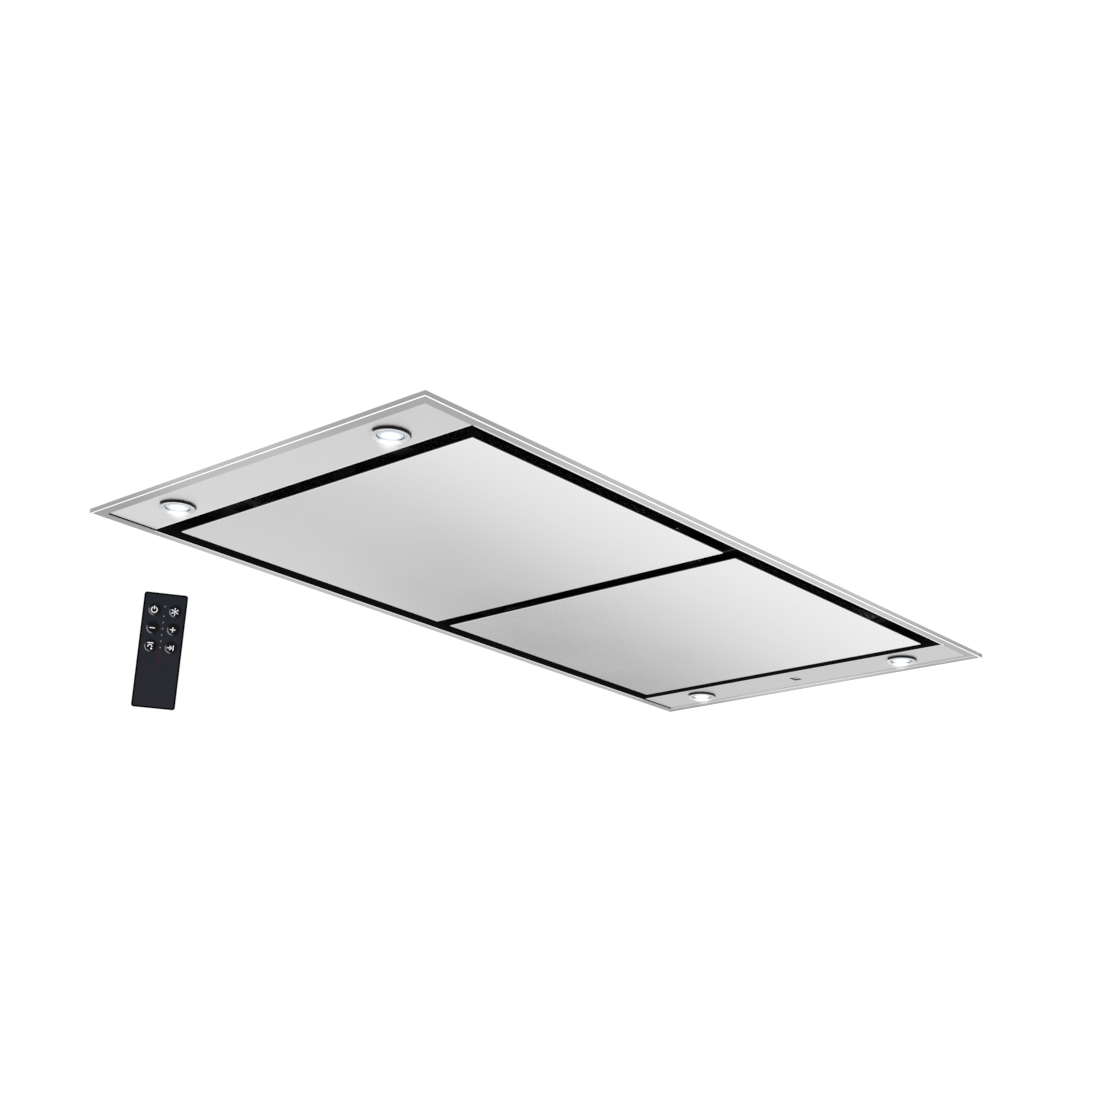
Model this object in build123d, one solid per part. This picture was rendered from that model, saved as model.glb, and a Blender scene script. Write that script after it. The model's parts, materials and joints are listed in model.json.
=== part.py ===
from build123d import *
import os
from math import cos, radians, sin

# Flush ceiling range hood with two hinged perimeter-suction panels, four lamps and a handset.
# Frame: the origin is the centre of the ceiling cut-out, on the ceiling's lower surface.
# +X runs along the long side, +Y to the side with the duct outlet, +Z up into the ceiling.
# All sizes are millimetres.

# ---------------------------------------------------------------- driving dimensions
# Rim and body
hood_length = 1200.0
hood_width = 600.0
rim_depth = 5.5          # how far the rim stands below the ceiling
rim_sheet = 1.2
rim_riser = 20.0         # inner fold of the rim, up inside the body
rim_edge_radius = 0.6
rim_corner_radius = 1.2
rim_overhang = 14.0      # rim past the body, all round
body_height = 240.0
body_wall = 1.0
seal_width = 9.0
seal_setback = 0.3

# End plates with the lamps
end_margin = 91.0        # hood end to the black opening
fascia_recess = 1.5      # end plate above the rim's lower face
fascia_sheet = 1.2
fascia_gap = 1.0         # shadow gap round the end plate
fascia_upstand = 12.0
fascia_edge_radius = 0.6

# Black lining, middle bar and partition
lining_sheet = 1.2
lining_setback = 1.0     # lining starts this far above the rim sheet
bar_width = 4.8
bar_bottom = 2.0
partition_height = 40.0
partition_sheet = 1.2
partition_flange = 15.0

# Suction panels
slot_width = 23.4        # suction slot round the panels
centre_gap = 26.8        # slot between the two panels
panel_sheet = 1.2
panel_corner_radius = 1.0
panel_edge_radius = 0.4
tray_inset = 14.0
tray_depth = 8.0
tray_sheet = 1.0

# Panel hinges and catches
hinge_inset = 16.0       # pivot in from the panel's inner edge
hinge_height = 11.0
hinge_spacing = 360.0    # between the two hinges of one panel
hinge_pin_radius = 3.0
hinge_pin_overhang = 2.0
knuckle_radius = 5.5
knuckle_width = 14.0
knuckle_foot = 12.0
ear_radius = 6.0
ear_sheet = 2.0
ear_gap = 1.0
hinge_base_width = 30.0
hinge_base_length = 44.0
hinge_base_sheet = 1.2
hinge_screw_spacing = 32.0
catch_spacing = 300.0
catch_width = 30.0
catch_arm_sheet = 1.5
catch_foot_height = 14.0
magnet_length = 16.0
magnet_thickness = 1.5
catch_gap = 0.3          # magnet to tray with the panel shut

# Grease filters
filter_length = 376.0
filter_width = 456.0
filter_thickness = 10.0
filter_clearance = 2.0
filter_sheet = 1.0
filter_lip = 14.0
filter_tab_thickness = 1.5
filter_tab_width = 40.0
filter_tab_reach = 8.0
filter_tab_spacing = 280.0
mesh_columns = 14
mesh_rows = 17
mesh_strand = 3.0
mesh_gap = 0.3
latch_width = 53.0
latch_length = 22.0
latch_travel = 9.0
latch_spare = 1.6
latch_grip_drop = 10.0
latch_grip_sheet = 2.4
latch_grip_width = 40.0
bolt_width = 24.0
bolt_reach = 7.0
bolt_thickness = 1.2

# Blower
blower_x = 0.0
blower_y = -40.0
scroll_height = 100.0
scroll_sheet = 1.5
scroll_radius = 130.0    # first quarter of the spiral
scroll_step = 28.0       # growth of the radius per quarter
scroll_headroom = 29.0   # rubber buffers, from the scroll to the body's top
buffer_radius = 12.0
buffer_spread_x = 180.0
buffer_spread_y = 200.0
throat_end_width = 144.0
tongue_length = 18.0     # filled wedge between the spiral and the throat
inlet_radius = 84.0
inlet_ring_flange = 95.0
inlet_ring_sheet = 1.5
inlet_ring_lip = 3.0
guard_strand = 2.0
guard_rings = 3
guard_spokes = 6
impeller_radius = 110.0
impeller_eye = 90.0
impeller_sheet = 2.0
impeller_bottom_gap = 8.0
impeller_top_gap = 12.0
blade_count = 32
blade_sheet = 1.2
blade_lead = 9.0         # how far each blade's tip leads its root, in degrees
blade_bulge = 3.0
dish_radius = 49.0
dish_depth = 50.0
hub_radius = 11.0
hub_length = 16.0
motor_radius = 42.0
motor_clearance = 4.0
motor_edge_radius = 4.0
motor_flange_radius = 56.0
motor_flange_sheet = 5.0
shaft_radius = 4.0
shaft_in_motor = 20.0
shaft_below_hub = 4.0

# Duct collar and non-return flaps
duct_radius = 74.5
duct_wall = 2.0
collar_length = 50.0
collar_flange_x = 168.0
collar_flange_z = 158.0
collar_flange_sheet = 2.0
collar_screw_x = 148.0
collar_screw_z = 140.0
flap_setback = 20.0      # flap plane, out from the body wall
flap_sheet = 1.4
flap_edge_gap = 2.0
flap_hinge_offset = 4.0
flap_barrel_radius = 3.0
flap_barrel_length = 110.0
flap_pin_radius = 1.5
flap_stop_gap = 0.5
flap_stop_depth = 3.0
flap_stop_thickness = 2.3

# Electronics
electronics_inset_x = 186.0  # box centre in from the body's +X end
electronics_inset_y = 156.0  # and from its -Y side
electronics_length = 200.0
electronics_width = 140.0
electronics_depth = 58.0
electronics_sheet = 1.2
electronics_lip = 12.0
board_length = 150.0
board_width = 100.0
board_sheet = 1.6
board_standoff = 7.4
standoff_radius = 3.0
standoff_margin = 8.0
component_margin = 5.5
transformer_length = 42.0
transformer_width = 36.0
transformer_height = 26.0
relay_count = 4
relay_length = 12.0
relay_width = 22.0
relay_height = 15.0
relay_pitch = 17.0
plug_count = 3
plug_length = 16.0
plug_width = 12.0
plug_height = 10.0
plug_pitch = 22.0
smoothing_radius = 8.0
smoothing_height = 20.0
terminal_length = 50.0
terminal_width = 20.0
terminal_height = 22.0
terminal_poles = 5
terminal_drop = 6.0
terminal_y_offset = 28.0
terminal_hole = 6.0
terminal_screw_inset = 6.0
terminal_screw_depth = 11.0
terminal_wire_depth = 7.6
terminal_wire_height = 8.8
driver_inset_y = 226.0
driver_length = 110.0
driver_width = 50.0
driver_height = 28.0
driver_slots = 6
driver_slot_width = 5.2
driver_slot_length = 35.0
driver_slot_depth = 2.0
capacitor_inset_y = 146.0
capacitor_radius = 17.5
capacitor_length = 62.0
capacitor_strap = 20.0
capacitor_strap_sheet = 1.2
capacitor_foot_length = 52.0
gland_inset_x = 21.0     # gland in from the electronics box's wall
gland_inset_y = 30.0
gland_thread_radius = 9.8
gland_nut_radius = 13.0
gland_nut_height = 6.0
gland_cap_height = 12.0
gland_cap_radius = 11.0
gland_cap_round = 3.0
gland_thread_end = 2.0
cable_bore_radius = 4.5

# Hanger brackets
hanger_inset_x = 46.0    # hanging rod in from the body's end
hanger_inset_y = 51.0    # and from its long side
hanger_rise = 37.5
hanger_sheet = 2.5
hanger_width = 50.0
hanger_foot = 34.0
hanger_hole_radius = 4.5
hanger_screw_spacing = 26.0

# Screws
screw_radius = 2.0
screw_head_radius = 3.6
screw_head_height = 2.2
screw_head_round = 0.9
screw_reach = 7.0

# Lamps
lamp_inset_x = 54.5      # lamp centre in from the hood's end
lamp_inset_y = 109.0     # and from its long side
bezel_radius = 23.6
bezel_depth = 3.3
bezel_chamfer = 0.8
bezel_rise = 6.5
bezel_clearance = 0.6
sleeve_radius = 20.6
sleeve_wall = 1.6
lens_radius = 15.5
lens_crown = 0.9
lens_flange = 3.2
lens_flange_thickness = 1.2
led_board_radius = 18.0
led_board_sheet = 1.6
led_chip = 3.0
led_chip_height = 0.8
led_ring_radius = 8.0
led_count = 6
heat_sink_height = 34.0
heat_sink_core = 12.0
heat_sink_fin = 1.5
heat_sink_fins = 6
clip_width = 8.0
clip_sheet = 0.7
clip_reach = 11.0

# Infrared receiver behind a window in the far end plate
receiver_y = 3.0
receiver_length = 17.0
receiver_width = 13.0
receiver_height = 9.0
receiver_shoulder = 2.0

# Handset, which faces the viewer below the near end of the hood
handset_x = -636.3
handset_y = 67.2
handset_z = -234.5
view_azimuth = 54.48     # direction that the viewer looks in, from +X towards +Y
view_elevation = 15.49   # and upwards
handset_tilt = -0.57     # turn about its own face
handset_length = 130.0
handset_width = 48.5
handset_depth = 16.0
handset_split = 8.0      # front case depth
handset_wall = 1.6
handset_skin = 1.8
handset_corner = 3.0
handset_edge = 0.8
button_radius = 6.4
button_rise = 1.3
button_dome = 0.7
button_clearance = 0.2
button_columns = 22.8
button_top_row = 45.4
button_pitch = 20.5
button_skirt = 0.9
button_skirt_height = 0.9
button_travel = 0.8
keymat_sheet = 1.0
dome_radius = 4.0
indicator_count = 7
indicator_top = 50.1
indicator_gap = 10.9     # first light to the row of the others
indicator_pitch = 7.1
indicator_radius = 0.8
handset_board_length = 70.0
handset_board_width = 42.0
handset_board_sheet = 1.6
handset_board_depth = 7.2
handset_board_top = 4.0
handset_boss_radius = 2.5
handset_boss_margin = 3.2
chip_length = 12.0
chip_width = 9.0
chip_height = 1.5
battery_radius = 5.25
battery_length = 44.5
battery_nub = 1.9
battery_end_gap = 8.0
door_width = 29.6
door_length = 56.6
door_rib_count = 5
door_rib_inset = 8.0
door_rib_pitch = 2.4
door_rib_width = 1.2
door_rib_length = 14.8
door_rib_depth = 0.5
window_width = 12.0
window_height = 3.6
window_shoulder = 1.5

# Clearances
sheet_gap = 0.1          # folded sheets that lie against each other
running_gap = 0.1        # pins in their holes
fit_gap = 0.2            # pieces that drop into an opening
seat_gap = 0.3           # pieces that rest on a seat
overshoot = 1.0          # cuts past a face

# ---------------------------------------------------------------- derived places
rim_bottom = -rim_depth
rim_top = rim_bottom + rim_sheet
body_half_x = hood_length / 2 - rim_overhang
body_half_y = hood_width / 2 - rim_overhang
body_inner_x = body_half_x - body_wall
body_inner_y = body_half_y - body_wall
body_ceiling = body_height - body_wall
rim_inner_x = body_inner_x - sheet_gap - rim_sheet
rim_inner_y = body_inner_y - sheet_gap - rim_sheet

opening_x = hood_length / 2 - end_margin
fascia_bottom = rim_bottom + fascia_recess
fascia_top = fascia_bottom + fascia_sheet
lining_x = opening_x - sheet_gap
lining_y = rim_inner_y - sheet_gap
lining_bottom = rim_top + lining_setback
partition_top = partition_height + partition_sheet

panel_near = centre_gap / 2
panel_far = opening_x - slot_width
panel_half_y = rim_inner_y - slot_width
panel_top = rim_bottom + panel_sheet
tray_near = panel_near + tray_inset
tray_far = panel_far - tray_inset
tray_half_y = panel_half_y - tray_inset
tray_top = panel_top + tray_depth
hinge_x = panel_near + hinge_inset

filter_top = partition_top + seat_gap + filter_tab_thickness
filter_bottom = filter_top - filter_thickness
filter_x = (hinge_x + hinge_base_width / 2 + lining_x - lining_sheet) / 2
filter_far = filter_x + filter_length / 2
pocket_depth = latch_length + latch_travel + latch_spare + fit_gap
pocket_half = latch_width / 2 + fit_gap

scroll_top = body_ceiling - scroll_headroom
scroll_bottom = scroll_top - scroll_height
impeller_bottom = scroll_bottom + impeller_bottom_gap
impeller_top = scroll_top - impeller_top_gap
hub_top = impeller_top - dish_depth
motor_bottom = hub_top + motor_clearance
throat_left = blower_x - scroll_step / 2 + scroll_radius
duct_x = throat_left + throat_end_width / 2
duct_z = scroll_bottom + scroll_height / 2
duct_bore = duct_radius - duct_wall
flap_y = body_half_y + flap_setback

electronics_x = body_half_x - electronics_inset_x
electronics_y = electronics_inset_y - body_half_y
electronics_bottom = body_ceiling - electronics_depth
driver_y = body_half_y - driver_inset_y
capacitor_y = body_half_y - capacitor_inset_y
gland_x = electronics_x - electronics_length / 2 + gland_inset_x
gland_y = electronics_y + electronics_width / 2 - gland_inset_y
hanger_x = body_half_x - hanger_inset_x
hanger_y = body_half_y - hanger_inset_y
lamp_face = fascia_bottom - bezel_depth
lamp_ledge = fascia_bottom - lens_flange_thickness / 2
lamp_sleeve_top = fascia_bottom + bezel_rise
led_board_top = fascia_bottom + lens_flange_thickness + led_chip_height + led_board_sheet + fit_gap
lamp_x = hood_length / 2 - lamp_inset_x
lamp_y = hood_width / 2 - lamp_inset_y
lamp_places = [(sx * lamp_x, sy * lamp_y) for sx in (-1, 1) for sy in (-1, 1)]


# ---------------------------------------------------------------- shape helpers
def block(x0, x1, y0, y1, z0, z1):
    """Box between two corners."""
    return Pos((x0 + x1) / 2, (y0 + y1) / 2, (z0 + z1) / 2) * Box(x1 - x0, y1 - y0, z1 - z0)


def slab(x, y, dx, dy, z0, z1):
    """Box centred on x, y, between two heights."""
    return block(x - dx / 2, x + dx / 2, y - dy / 2, y + dy / 2, z0, z1)


def post(x, y, z0, z1, radius):
    """Upright cylinder."""
    return Pos(x, y, (z0 + z1) / 2) * Cylinder(radius, z1 - z0)


def through_post(x, y, z0, z1, radius):
    """Upright cylinder that runs past both faces of a sheet."""
    return post(x, y, z0 - overshoot, z1 + overshoot, radius)


def rod_x(x0, x1, y, z, radius):
    """Cylinder along X."""
    return Pos((x0 + x1) / 2, y, z) * Rot(0, 90, 0) * Cylinder(radius, x1 - x0)


def rod_y(x, y0, y1, z, radius):
    """Cylinder along Y."""
    return Pos(x, (y0 + y1) / 2, z) * Rot(90, 0, 0) * Cylinder(radius, y1 - y0)


def wall_ring(x0, x1, y0, y1, sheet, z0, z1):
    """Upright wall of one sheet round a rectangle, measured to its outer faces."""
    inside = block(x0 + sheet, x1 - sheet, y0 + sheet, y1 - sheet, z0, z1)
    return block(x0, x1, y0, y1, z0, z1) - inside


def centred_ring(half_x, half_y, sheet, z0, z1):
    """Wall ring round the origin."""
    return wall_ring(-half_x, half_x, -half_y, half_y, sheet, z0, z1)


def turned(points, x=0.0, y=0.0):
    """Solid of revolution about an upright axis, from (radius, height) points."""
    profile = make_face(Polyline(*[(r, 0, z) for r, z in points], close=True))
    return Pos(x, y, 0) * revolve(profile, Axis.Z, 360)


def extruded(face, z0, z1):
    """Flat face raised from one height to another."""
    return Pos(0, 0, z0) * extrude(face, z1 - z0)


def side_profile(points, y0, y1):
    """Outline of (x, z) points, extruded along Y."""
    face = make_face(Polyline(*[(x, y0, z) for x, z in points], close=True))
    return extrude(face, y1 - y0, dir=(0, 1, 0))


def mirrored(shape):
    """The same piece on the other half of the hood."""
    return shape.mirror(Plane.YZ)


def edges_at(shape, height, direction=Axis.Z):
    """Edges that lie at one height."""
    return shape.edges().filter_by_position(direction, height - 0.01, height + 0.01)


def save(name, *pieces):
    """Write one sub-part; separate pieces that share a node stay separate solids."""
    solids = [solid for piece in pieces for solid in piece.solids()]
    shape = solids[0] if len(solids) == 1 else Compound(solids)
    export_step(shape, f"parts/{name}.step")


# ---------------------------------------------------------------- rim, seal and end plates
def make_rim():
    """Folded stainless rim: side wall, flat band and inner riser."""
    half_x, half_y = hood_length / 2, hood_width / 2
    rim = centred_ring(half_x, half_y, rim_sheet, rim_bottom, 0)
    rim += centred_ring(half_x, half_y, half_y - rim_inner_y, rim_bottom, rim_top)
    rim += centred_ring(rim_inner_x + rim_sheet, rim_inner_y + rim_sheet, rim_sheet, rim_bottom, rim_riser)
    corners = rim.edges().filter_by(Axis.Z).filter_by_position(Axis.X, half_x - 0.01, half_x + 0.01)
    corners += rim.edges().filter_by(Axis.Z).filter_by_position(Axis.X, -half_x - 0.01, 0.01 - half_x)
    rim = fillet(corners, rim_corner_radius)
    return fillet(edges_at(rim, rim_bottom), rim_edge_radius)


def make_seal():
    """Foam strip that the ceiling board compresses."""
    edge = rim_sheet + seal_setback
    return centred_ring(hood_length / 2 - edge, hood_width / 2 - edge, seal_width, rim_top, 0)


def make_fascia(holes):
    """Recessed end plate of the +X end, with folded edges and its lamp holes."""
    x0, x1 = opening_x, rim_inner_x - fascia_gap
    half_y = rim_inner_y - fascia_gap
    plate = block(x0, x1, -half_y, half_y, fascia_bottom, fascia_top)
    plate += wall_ring(x0, x1, -half_y, half_y, fascia_sheet, fascia_bottom, fascia_bottom + fascia_upstand)
    plate = fillet(edges_at(plate, fascia_bottom), fascia_edge_radius)
    for hole in holes:
        plate -= hole
    return plate


def lamp_hole(y):
    """Cut-out for one lamp in an end plate."""
    radius = sleeve_radius + bezel_clearance
    return through_post(lamp_x, y, fascia_bottom, fascia_top, radius)


def receiver_block(grow, z0, z1):
    """Plan of the receiver's window, grown by a margin."""
    return slab(lamp_x, receiver_y, receiver_length + 2 * grow, receiver_width + 2 * grow, z0, z1)


# ---------------------------------------------------------------- lining, partition, body
def make_lining():
    """Black lining of the opening, with the bar between the panels."""
    lining = centred_ring(lining_x, lining_y, lining_sheet, lining_bottom, partition_height)
    half = bar_width / 2
    end = lining_y - lining_sheet
    return lining + block(-half, half, -end, end, bar_bottom, partition_height)


def hinge_screw_places(side):
    """Screw centres of the two hinge brackets on one side."""
    return [
        (side * hinge_x, sy * hinge_spacing / 2 + sv * hinge_screw_spacing / 2)
        for sy in (-1, 1)
        for sv in (-1, 1)
    ]


def make_partition():
    """Plate over both filters, hung between the long walls."""
    half_y = body_inner_y - sheet_gap
    plate = block(-lining_x, lining_x, -half_y, half_y, partition_height, partition_top)
    for side in (-1, 1):
        y0, y1 = sorted((side * half_y, side * (half_y - partition_sheet)))
        plate += block(-lining_x, lining_x, y0, y1, partition_height, partition_height + partition_flange)
        dx = filter_length + 2 * filter_clearance
        dy = filter_width + 2 * filter_clearance
        plate -= slab(side * filter_x, 0, dx, dy, partition_height - overshoot, partition_top + overshoot)
        for x, y in hinge_screw_places(side):
            plate -= through_post(x, y, partition_height, partition_top, screw_radius + running_gap)
    return plate


def hanger_screw_places():
    """Screw centres of the hanger brackets' feet, on top of the body."""
    return [
        (sx * (hanger_x - hanger_foot), sy * hanger_y + sv * hanger_screw_spacing / 2)
        for sx in (-1, 1)
        for sy in (-1, 1)
        for sv in (-1, 1)
    ]


def collar_screw_places():
    """Screw centres of the duct collar's flange, in the body's side wall."""
    return [
        (duct_x + sx * collar_screw_x / 2, duct_z + sz * collar_screw_z / 2)
        for sx in (-1, 1)
        for sz in (-1, 1)
    ]


def make_body_top():
    """Top sheet of the box above the ceiling."""
    top = block(-body_half_x, body_half_x, -body_half_y, body_half_y, body_ceiling, body_height)
    top -= through_post(gland_x, gland_y, body_ceiling, body_height, gland_thread_radius + fit_gap)
    for x, y in hanger_screw_places():
        top -= through_post(x, y, body_ceiling, body_height, screw_radius + running_gap)
    return top


def make_body_walls():
    """Four side sheets of the box: two long ones with the two ends between them."""
    wall_top = body_ceiling - sheet_gap
    plain = block(-body_half_x, body_half_x, -body_half_y, -body_inner_y, 0, wall_top)
    outlet = block(-body_half_x, body_half_x, body_inner_y, body_half_y, 0, wall_top)
    y0, y1 = body_inner_y - overshoot, body_half_y + overshoot
    outlet -= rod_y(duct_x, y0, y1, duct_z, duct_bore) & throat_mouth(y0, y1)
    for x, z in collar_screw_places():
        outlet -= rod_y(x, y0, y1, z, screw_radius + running_gap)
    half_y = body_inner_y - sheet_gap
    end = block(body_inner_x, body_half_x, -half_y, half_y, 0, wall_top)
    return [plain, outlet, end, mirrored(end)]


def make_hanger(sx, sy):
    """Stepped bracket on top of the body, for one hanging rod."""
    x, y = hanger_x, hanger_y
    web = x - hanger_foot / 2
    top = body_height + hanger_rise
    y0, y1 = y - hanger_width / 2, y + hanger_width / 2
    foot_in = web - hanger_foot
    bracket = block(foot_in, web, y0, y1, body_height, body_height + hanger_sheet)
    bracket += block(web - hanger_sheet, web, y0, y1, body_height, top)
    bracket += block(web - hanger_sheet, x + hanger_foot / 2, y0, y1, top - hanger_sheet, top)
    bracket -= through_post(x, y, top - hanger_sheet, top, hanger_hole_radius)
    radius = screw_radius + running_gap
    for sv in (-1, 1):
        hole_y = y + sv * hanger_screw_spacing / 2
        bracket -= post(x - hanger_foot, hole_y, body_height - overshoot, top - hanger_sheet, radius)
    if sx < 0:
        bracket = bracket.mirror(Plane.YZ)
    if sy < 0:
        bracket = bracket.mirror(Plane.XZ)
    return bracket


# ---------------------------------------------------------------- suction panels
def make_panel_face():
    """Thin stainless face of the +X panel."""
    face = block(panel_near, panel_far, -panel_half_y, panel_half_y, rim_bottom, panel_top)
    face = fillet(face.edges().filter_by(Axis.Z), panel_corner_radius)
    return fillet(edges_at(face, rim_bottom), panel_edge_radius)


def make_panel_tray():
    """Black back tray of the +X panel, with its two hinge knuckles."""
    tray = wall_ring(tray_near, tray_far, -tray_half_y, tray_half_y, tray_sheet, panel_top, tray_top)
    tray += block(tray_near, tray_far, -tray_half_y, tray_half_y, tray_top - tray_sheet, tray_top)
    for sy in (-1, 1):
        y0 = sy * hinge_spacing / 2 - knuckle_width / 2
        y1 = y0 + knuckle_width
        foot_x0 = max(tray_near, hinge_x - knuckle_foot / 2)
        tray += block(foot_x0, hinge_x + knuckle_foot / 2, y0, y1, tray_top - tray_sheet, hinge_height)
        tray += rod_y(hinge_x, y0, y1, hinge_height, knuckle_radius)
        bore = hinge_pin_radius + running_gap / 2
        tray -= rod_y(hinge_x, y0 - overshoot, y1 + overshoot, hinge_height, bore)
    return tray


def make_hinge_bracket(sy):
    """Two-eared bracket under the partition that holds one hinge pin."""
    y = sy * hinge_spacing / 2
    base_bottom = partition_height - hinge_base_sheet
    bracket = slab(hinge_x, y, hinge_base_width, hinge_base_length, base_bottom, partition_height)
    for sv in (-1, 1):
        y0, y1 = sorted((y + sv * ear_inner(), y + sv * (ear_inner() + ear_sheet)))
        ear = block(hinge_x - ear_radius, hinge_x + ear_radius, y0, y1, hinge_height, base_bottom)
        ear += rod_y(hinge_x, y0, y1, hinge_height, ear_radius)
        ear -= rod_y(hinge_x, y0 - overshoot, y1 + overshoot, hinge_height, hinge_pin_radius + running_gap)
        bracket += ear
        hole_y = y + sv * hinge_screw_spacing / 2
        bracket -= through_post(hinge_x, hole_y, base_bottom, partition_height, screw_radius + running_gap)
    return bracket


def ear_inner():
    """Half the gap between the two ears of a hinge bracket."""
    return knuckle_width / 2 + ear_gap


def make_hinge_pin(sy):
    """Pin of one hinge of the +X panel."""
    y = sy * hinge_spacing / 2
    half = ear_inner() + ear_sheet + hinge_pin_overhang
    return rod_y(hinge_x, y - half, y + half, hinge_height, hinge_pin_radius)


def make_catch(sy):
    """Magnet on an arm from the lining, over the tray's far edge."""
    y = sy * catch_spacing / 2
    magnet_bottom = tray_top + catch_gap
    arm_bottom = magnet_bottom + magnet_thickness
    wall = lining_x - lining_sheet
    magnet_far = tray_far - tray_sheet
    catch = slab(magnet_far - magnet_length / 2, y, magnet_length, catch_width, magnet_bottom, arm_bottom)
    arm_near = magnet_far - magnet_length - catch_arm_sheet
    catch += block(arm_near, wall, y - catch_width / 2, y + catch_width / 2, arm_bottom,
                   arm_bottom + catch_arm_sheet)
    catch += block(wall - catch_arm_sheet, wall, y - catch_width / 2, y + catch_width / 2, arm_bottom,
                   arm_bottom + catch_foot_height)
    return catch


# ---------------------------------------------------------------- grease filters
def latch_pocket(grow):
    """Space for the latch, inside the filter's far edge."""
    x1 = filter_far - filter_sheet
    return block(x1 - pocket_depth - grow, x1, -pocket_half - grow, pocket_half + grow,
                 filter_bottom - overshoot, filter_top + overshoot)


def make_filter_frame():
    """Channel-section frame of the +X filter, with its two tabs and latch pocket."""
    half_x, half_y = filter_length / 2, filter_width / 2
    x0, x1 = filter_x - half_x, filter_x + half_x
    frame = wall_ring(x0, x1, -half_y, half_y, filter_sheet, filter_bottom, filter_top)
    frame += wall_ring(x0, x1, -half_y, half_y, filter_lip, filter_bottom, filter_bottom + filter_sheet)
    frame += wall_ring(x0, x1, -half_y, half_y, filter_lip, filter_top - filter_sheet, filter_top)
    frame += latch_pocket(filter_sheet) & block(x0, x1, -half_y, half_y, filter_bottom, filter_top)
    frame -= latch_pocket(0)
    slot = bolt_width / 2 + fit_gap
    frame -= block(x1 - filter_sheet - overshoot, x1 + overshoot, -slot, slot,
                   partition_top, filter_top + overshoot)
    for sy in (-1, 1):
        y0 = sy * filter_tab_spacing / 2 - filter_tab_width / 2
        frame += block(x0 - filter_tab_reach, x0 + filter_sheet, y0, y0 + filter_tab_width,
                       filter_top - filter_tab_thickness, filter_top)
    return frame


def make_filter_mesh():
    """Expanded metal pack inside the +X filter's frame."""
    inset = filter_sheet + mesh_gap
    dx, dy = filter_length - 2 * inset, filter_width - 2 * inset
    z0, z1 = filter_bottom + filter_sheet, filter_top - filter_sheet
    field_x, field_y = filter_length - 2 * filter_lip, filter_width - 2 * filter_lip
    pitch_x, pitch_y = field_x / mesh_columns, field_y / mesh_rows
    hole = Rectangle(pitch_x - mesh_strand, pitch_y - mesh_strand)
    pack = Rectangle(dx, dy) - GridLocations(pitch_x, pitch_y, mesh_columns, mesh_rows) * hole
    mesh = Pos(filter_x, 0, 0) * extruded(pack, z0, z1)
    return mesh - latch_pocket(filter_sheet + mesh_gap)


def make_filter_latch():
    """Sprung latch: slider, finger grip and bolt."""
    x1 = filter_far - filter_sheet - fit_gap
    x0 = x1 - latch_length
    bolt_bottom = partition_top + seat_gap
    bolt_top = bolt_bottom + bolt_thickness
    latch = block(x0, x1, -latch_width / 2, latch_width / 2, filter_bottom + filter_sheet, bolt_top)
    latch += block(x0, x0 + latch_grip_sheet, -latch_grip_width / 2, latch_grip_width / 2,
                   filter_bottom + filter_sheet - latch_grip_drop, filter_bottom + filter_sheet)
    latch += block(x0, filter_far + bolt_reach, -bolt_width / 2, bolt_width / 2, bolt_bottom, bolt_top)
    return latch


# ---------------------------------------------------------------- blower
def volute(sheet):
    """Plan of the spiral casing and its throat, inset by a wall; the inset throat runs out at its end."""
    half = scroll_step / 2
    radii = [scroll_radius + quarter * scroll_step - sheet for quarter in range(4)]
    centres = [(-half, half), (-half, -half), (half, -half), (half, half)]
    edges = [
        CenterArc(centre, radius, 90 * quarter, 90)
        for quarter, (radius, centre) in enumerate(zip(radii, centres))
    ]
    start, stop = edges[0] @ 0, edges[3] @ 1
    left = throat_left - blower_x + sheet
    right = left + throat_end_width - 2 * sheet
    end_y = body_inner_y - blower_y + sheet
    edges.append(Line(stop, (right, end_y)))
    edges.append(Line((right, end_y), (left, end_y)))
    edges.append(Line((left, end_y), (left, start.Y)))
    if sheet > 0:
        edges.append(ThreePointArc((left, start.Y), (start.X + sheet, start.Y - sheet), start))
    return Pos(blower_x, blower_y) * make_face(edges)


def throat_mouth(y0, y1):
    """Clear section of the throat's end, between two places along Y."""
    return block(throat_left + scroll_sheet, throat_left + throat_end_width - scroll_sheet, y0, y1,
                 scroll_bottom + scroll_sheet, scroll_top - scroll_sheet)


def make_scroll():
    """Spiral casing with its throat up to the body's side wall: floor, roof and the strip between."""
    floor_top, roof_bottom = scroll_bottom + scroll_sheet, scroll_top - scroll_sheet
    plan = volute(0)
    floor = extruded(plan, scroll_bottom, floor_top)
    floor -= through_post(blower_x, blower_y, scroll_bottom, floor_top, inlet_radius)
    roof = extruded(plan, roof_bottom, scroll_top)
    z0, z1 = floor_top + sheet_gap, roof_bottom - sheet_gap
    tongue_y = blower_y + scroll_step / 2
    strip = extruded(plan, z0, z1)
    strip += block(throat_left - 2 * scroll_sheet, throat_left, tongue_y, tongue_y + tongue_length, z0, z1)
    return [floor, roof, strip - extruded(volute(scroll_sheet), z0, z1)]


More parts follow.
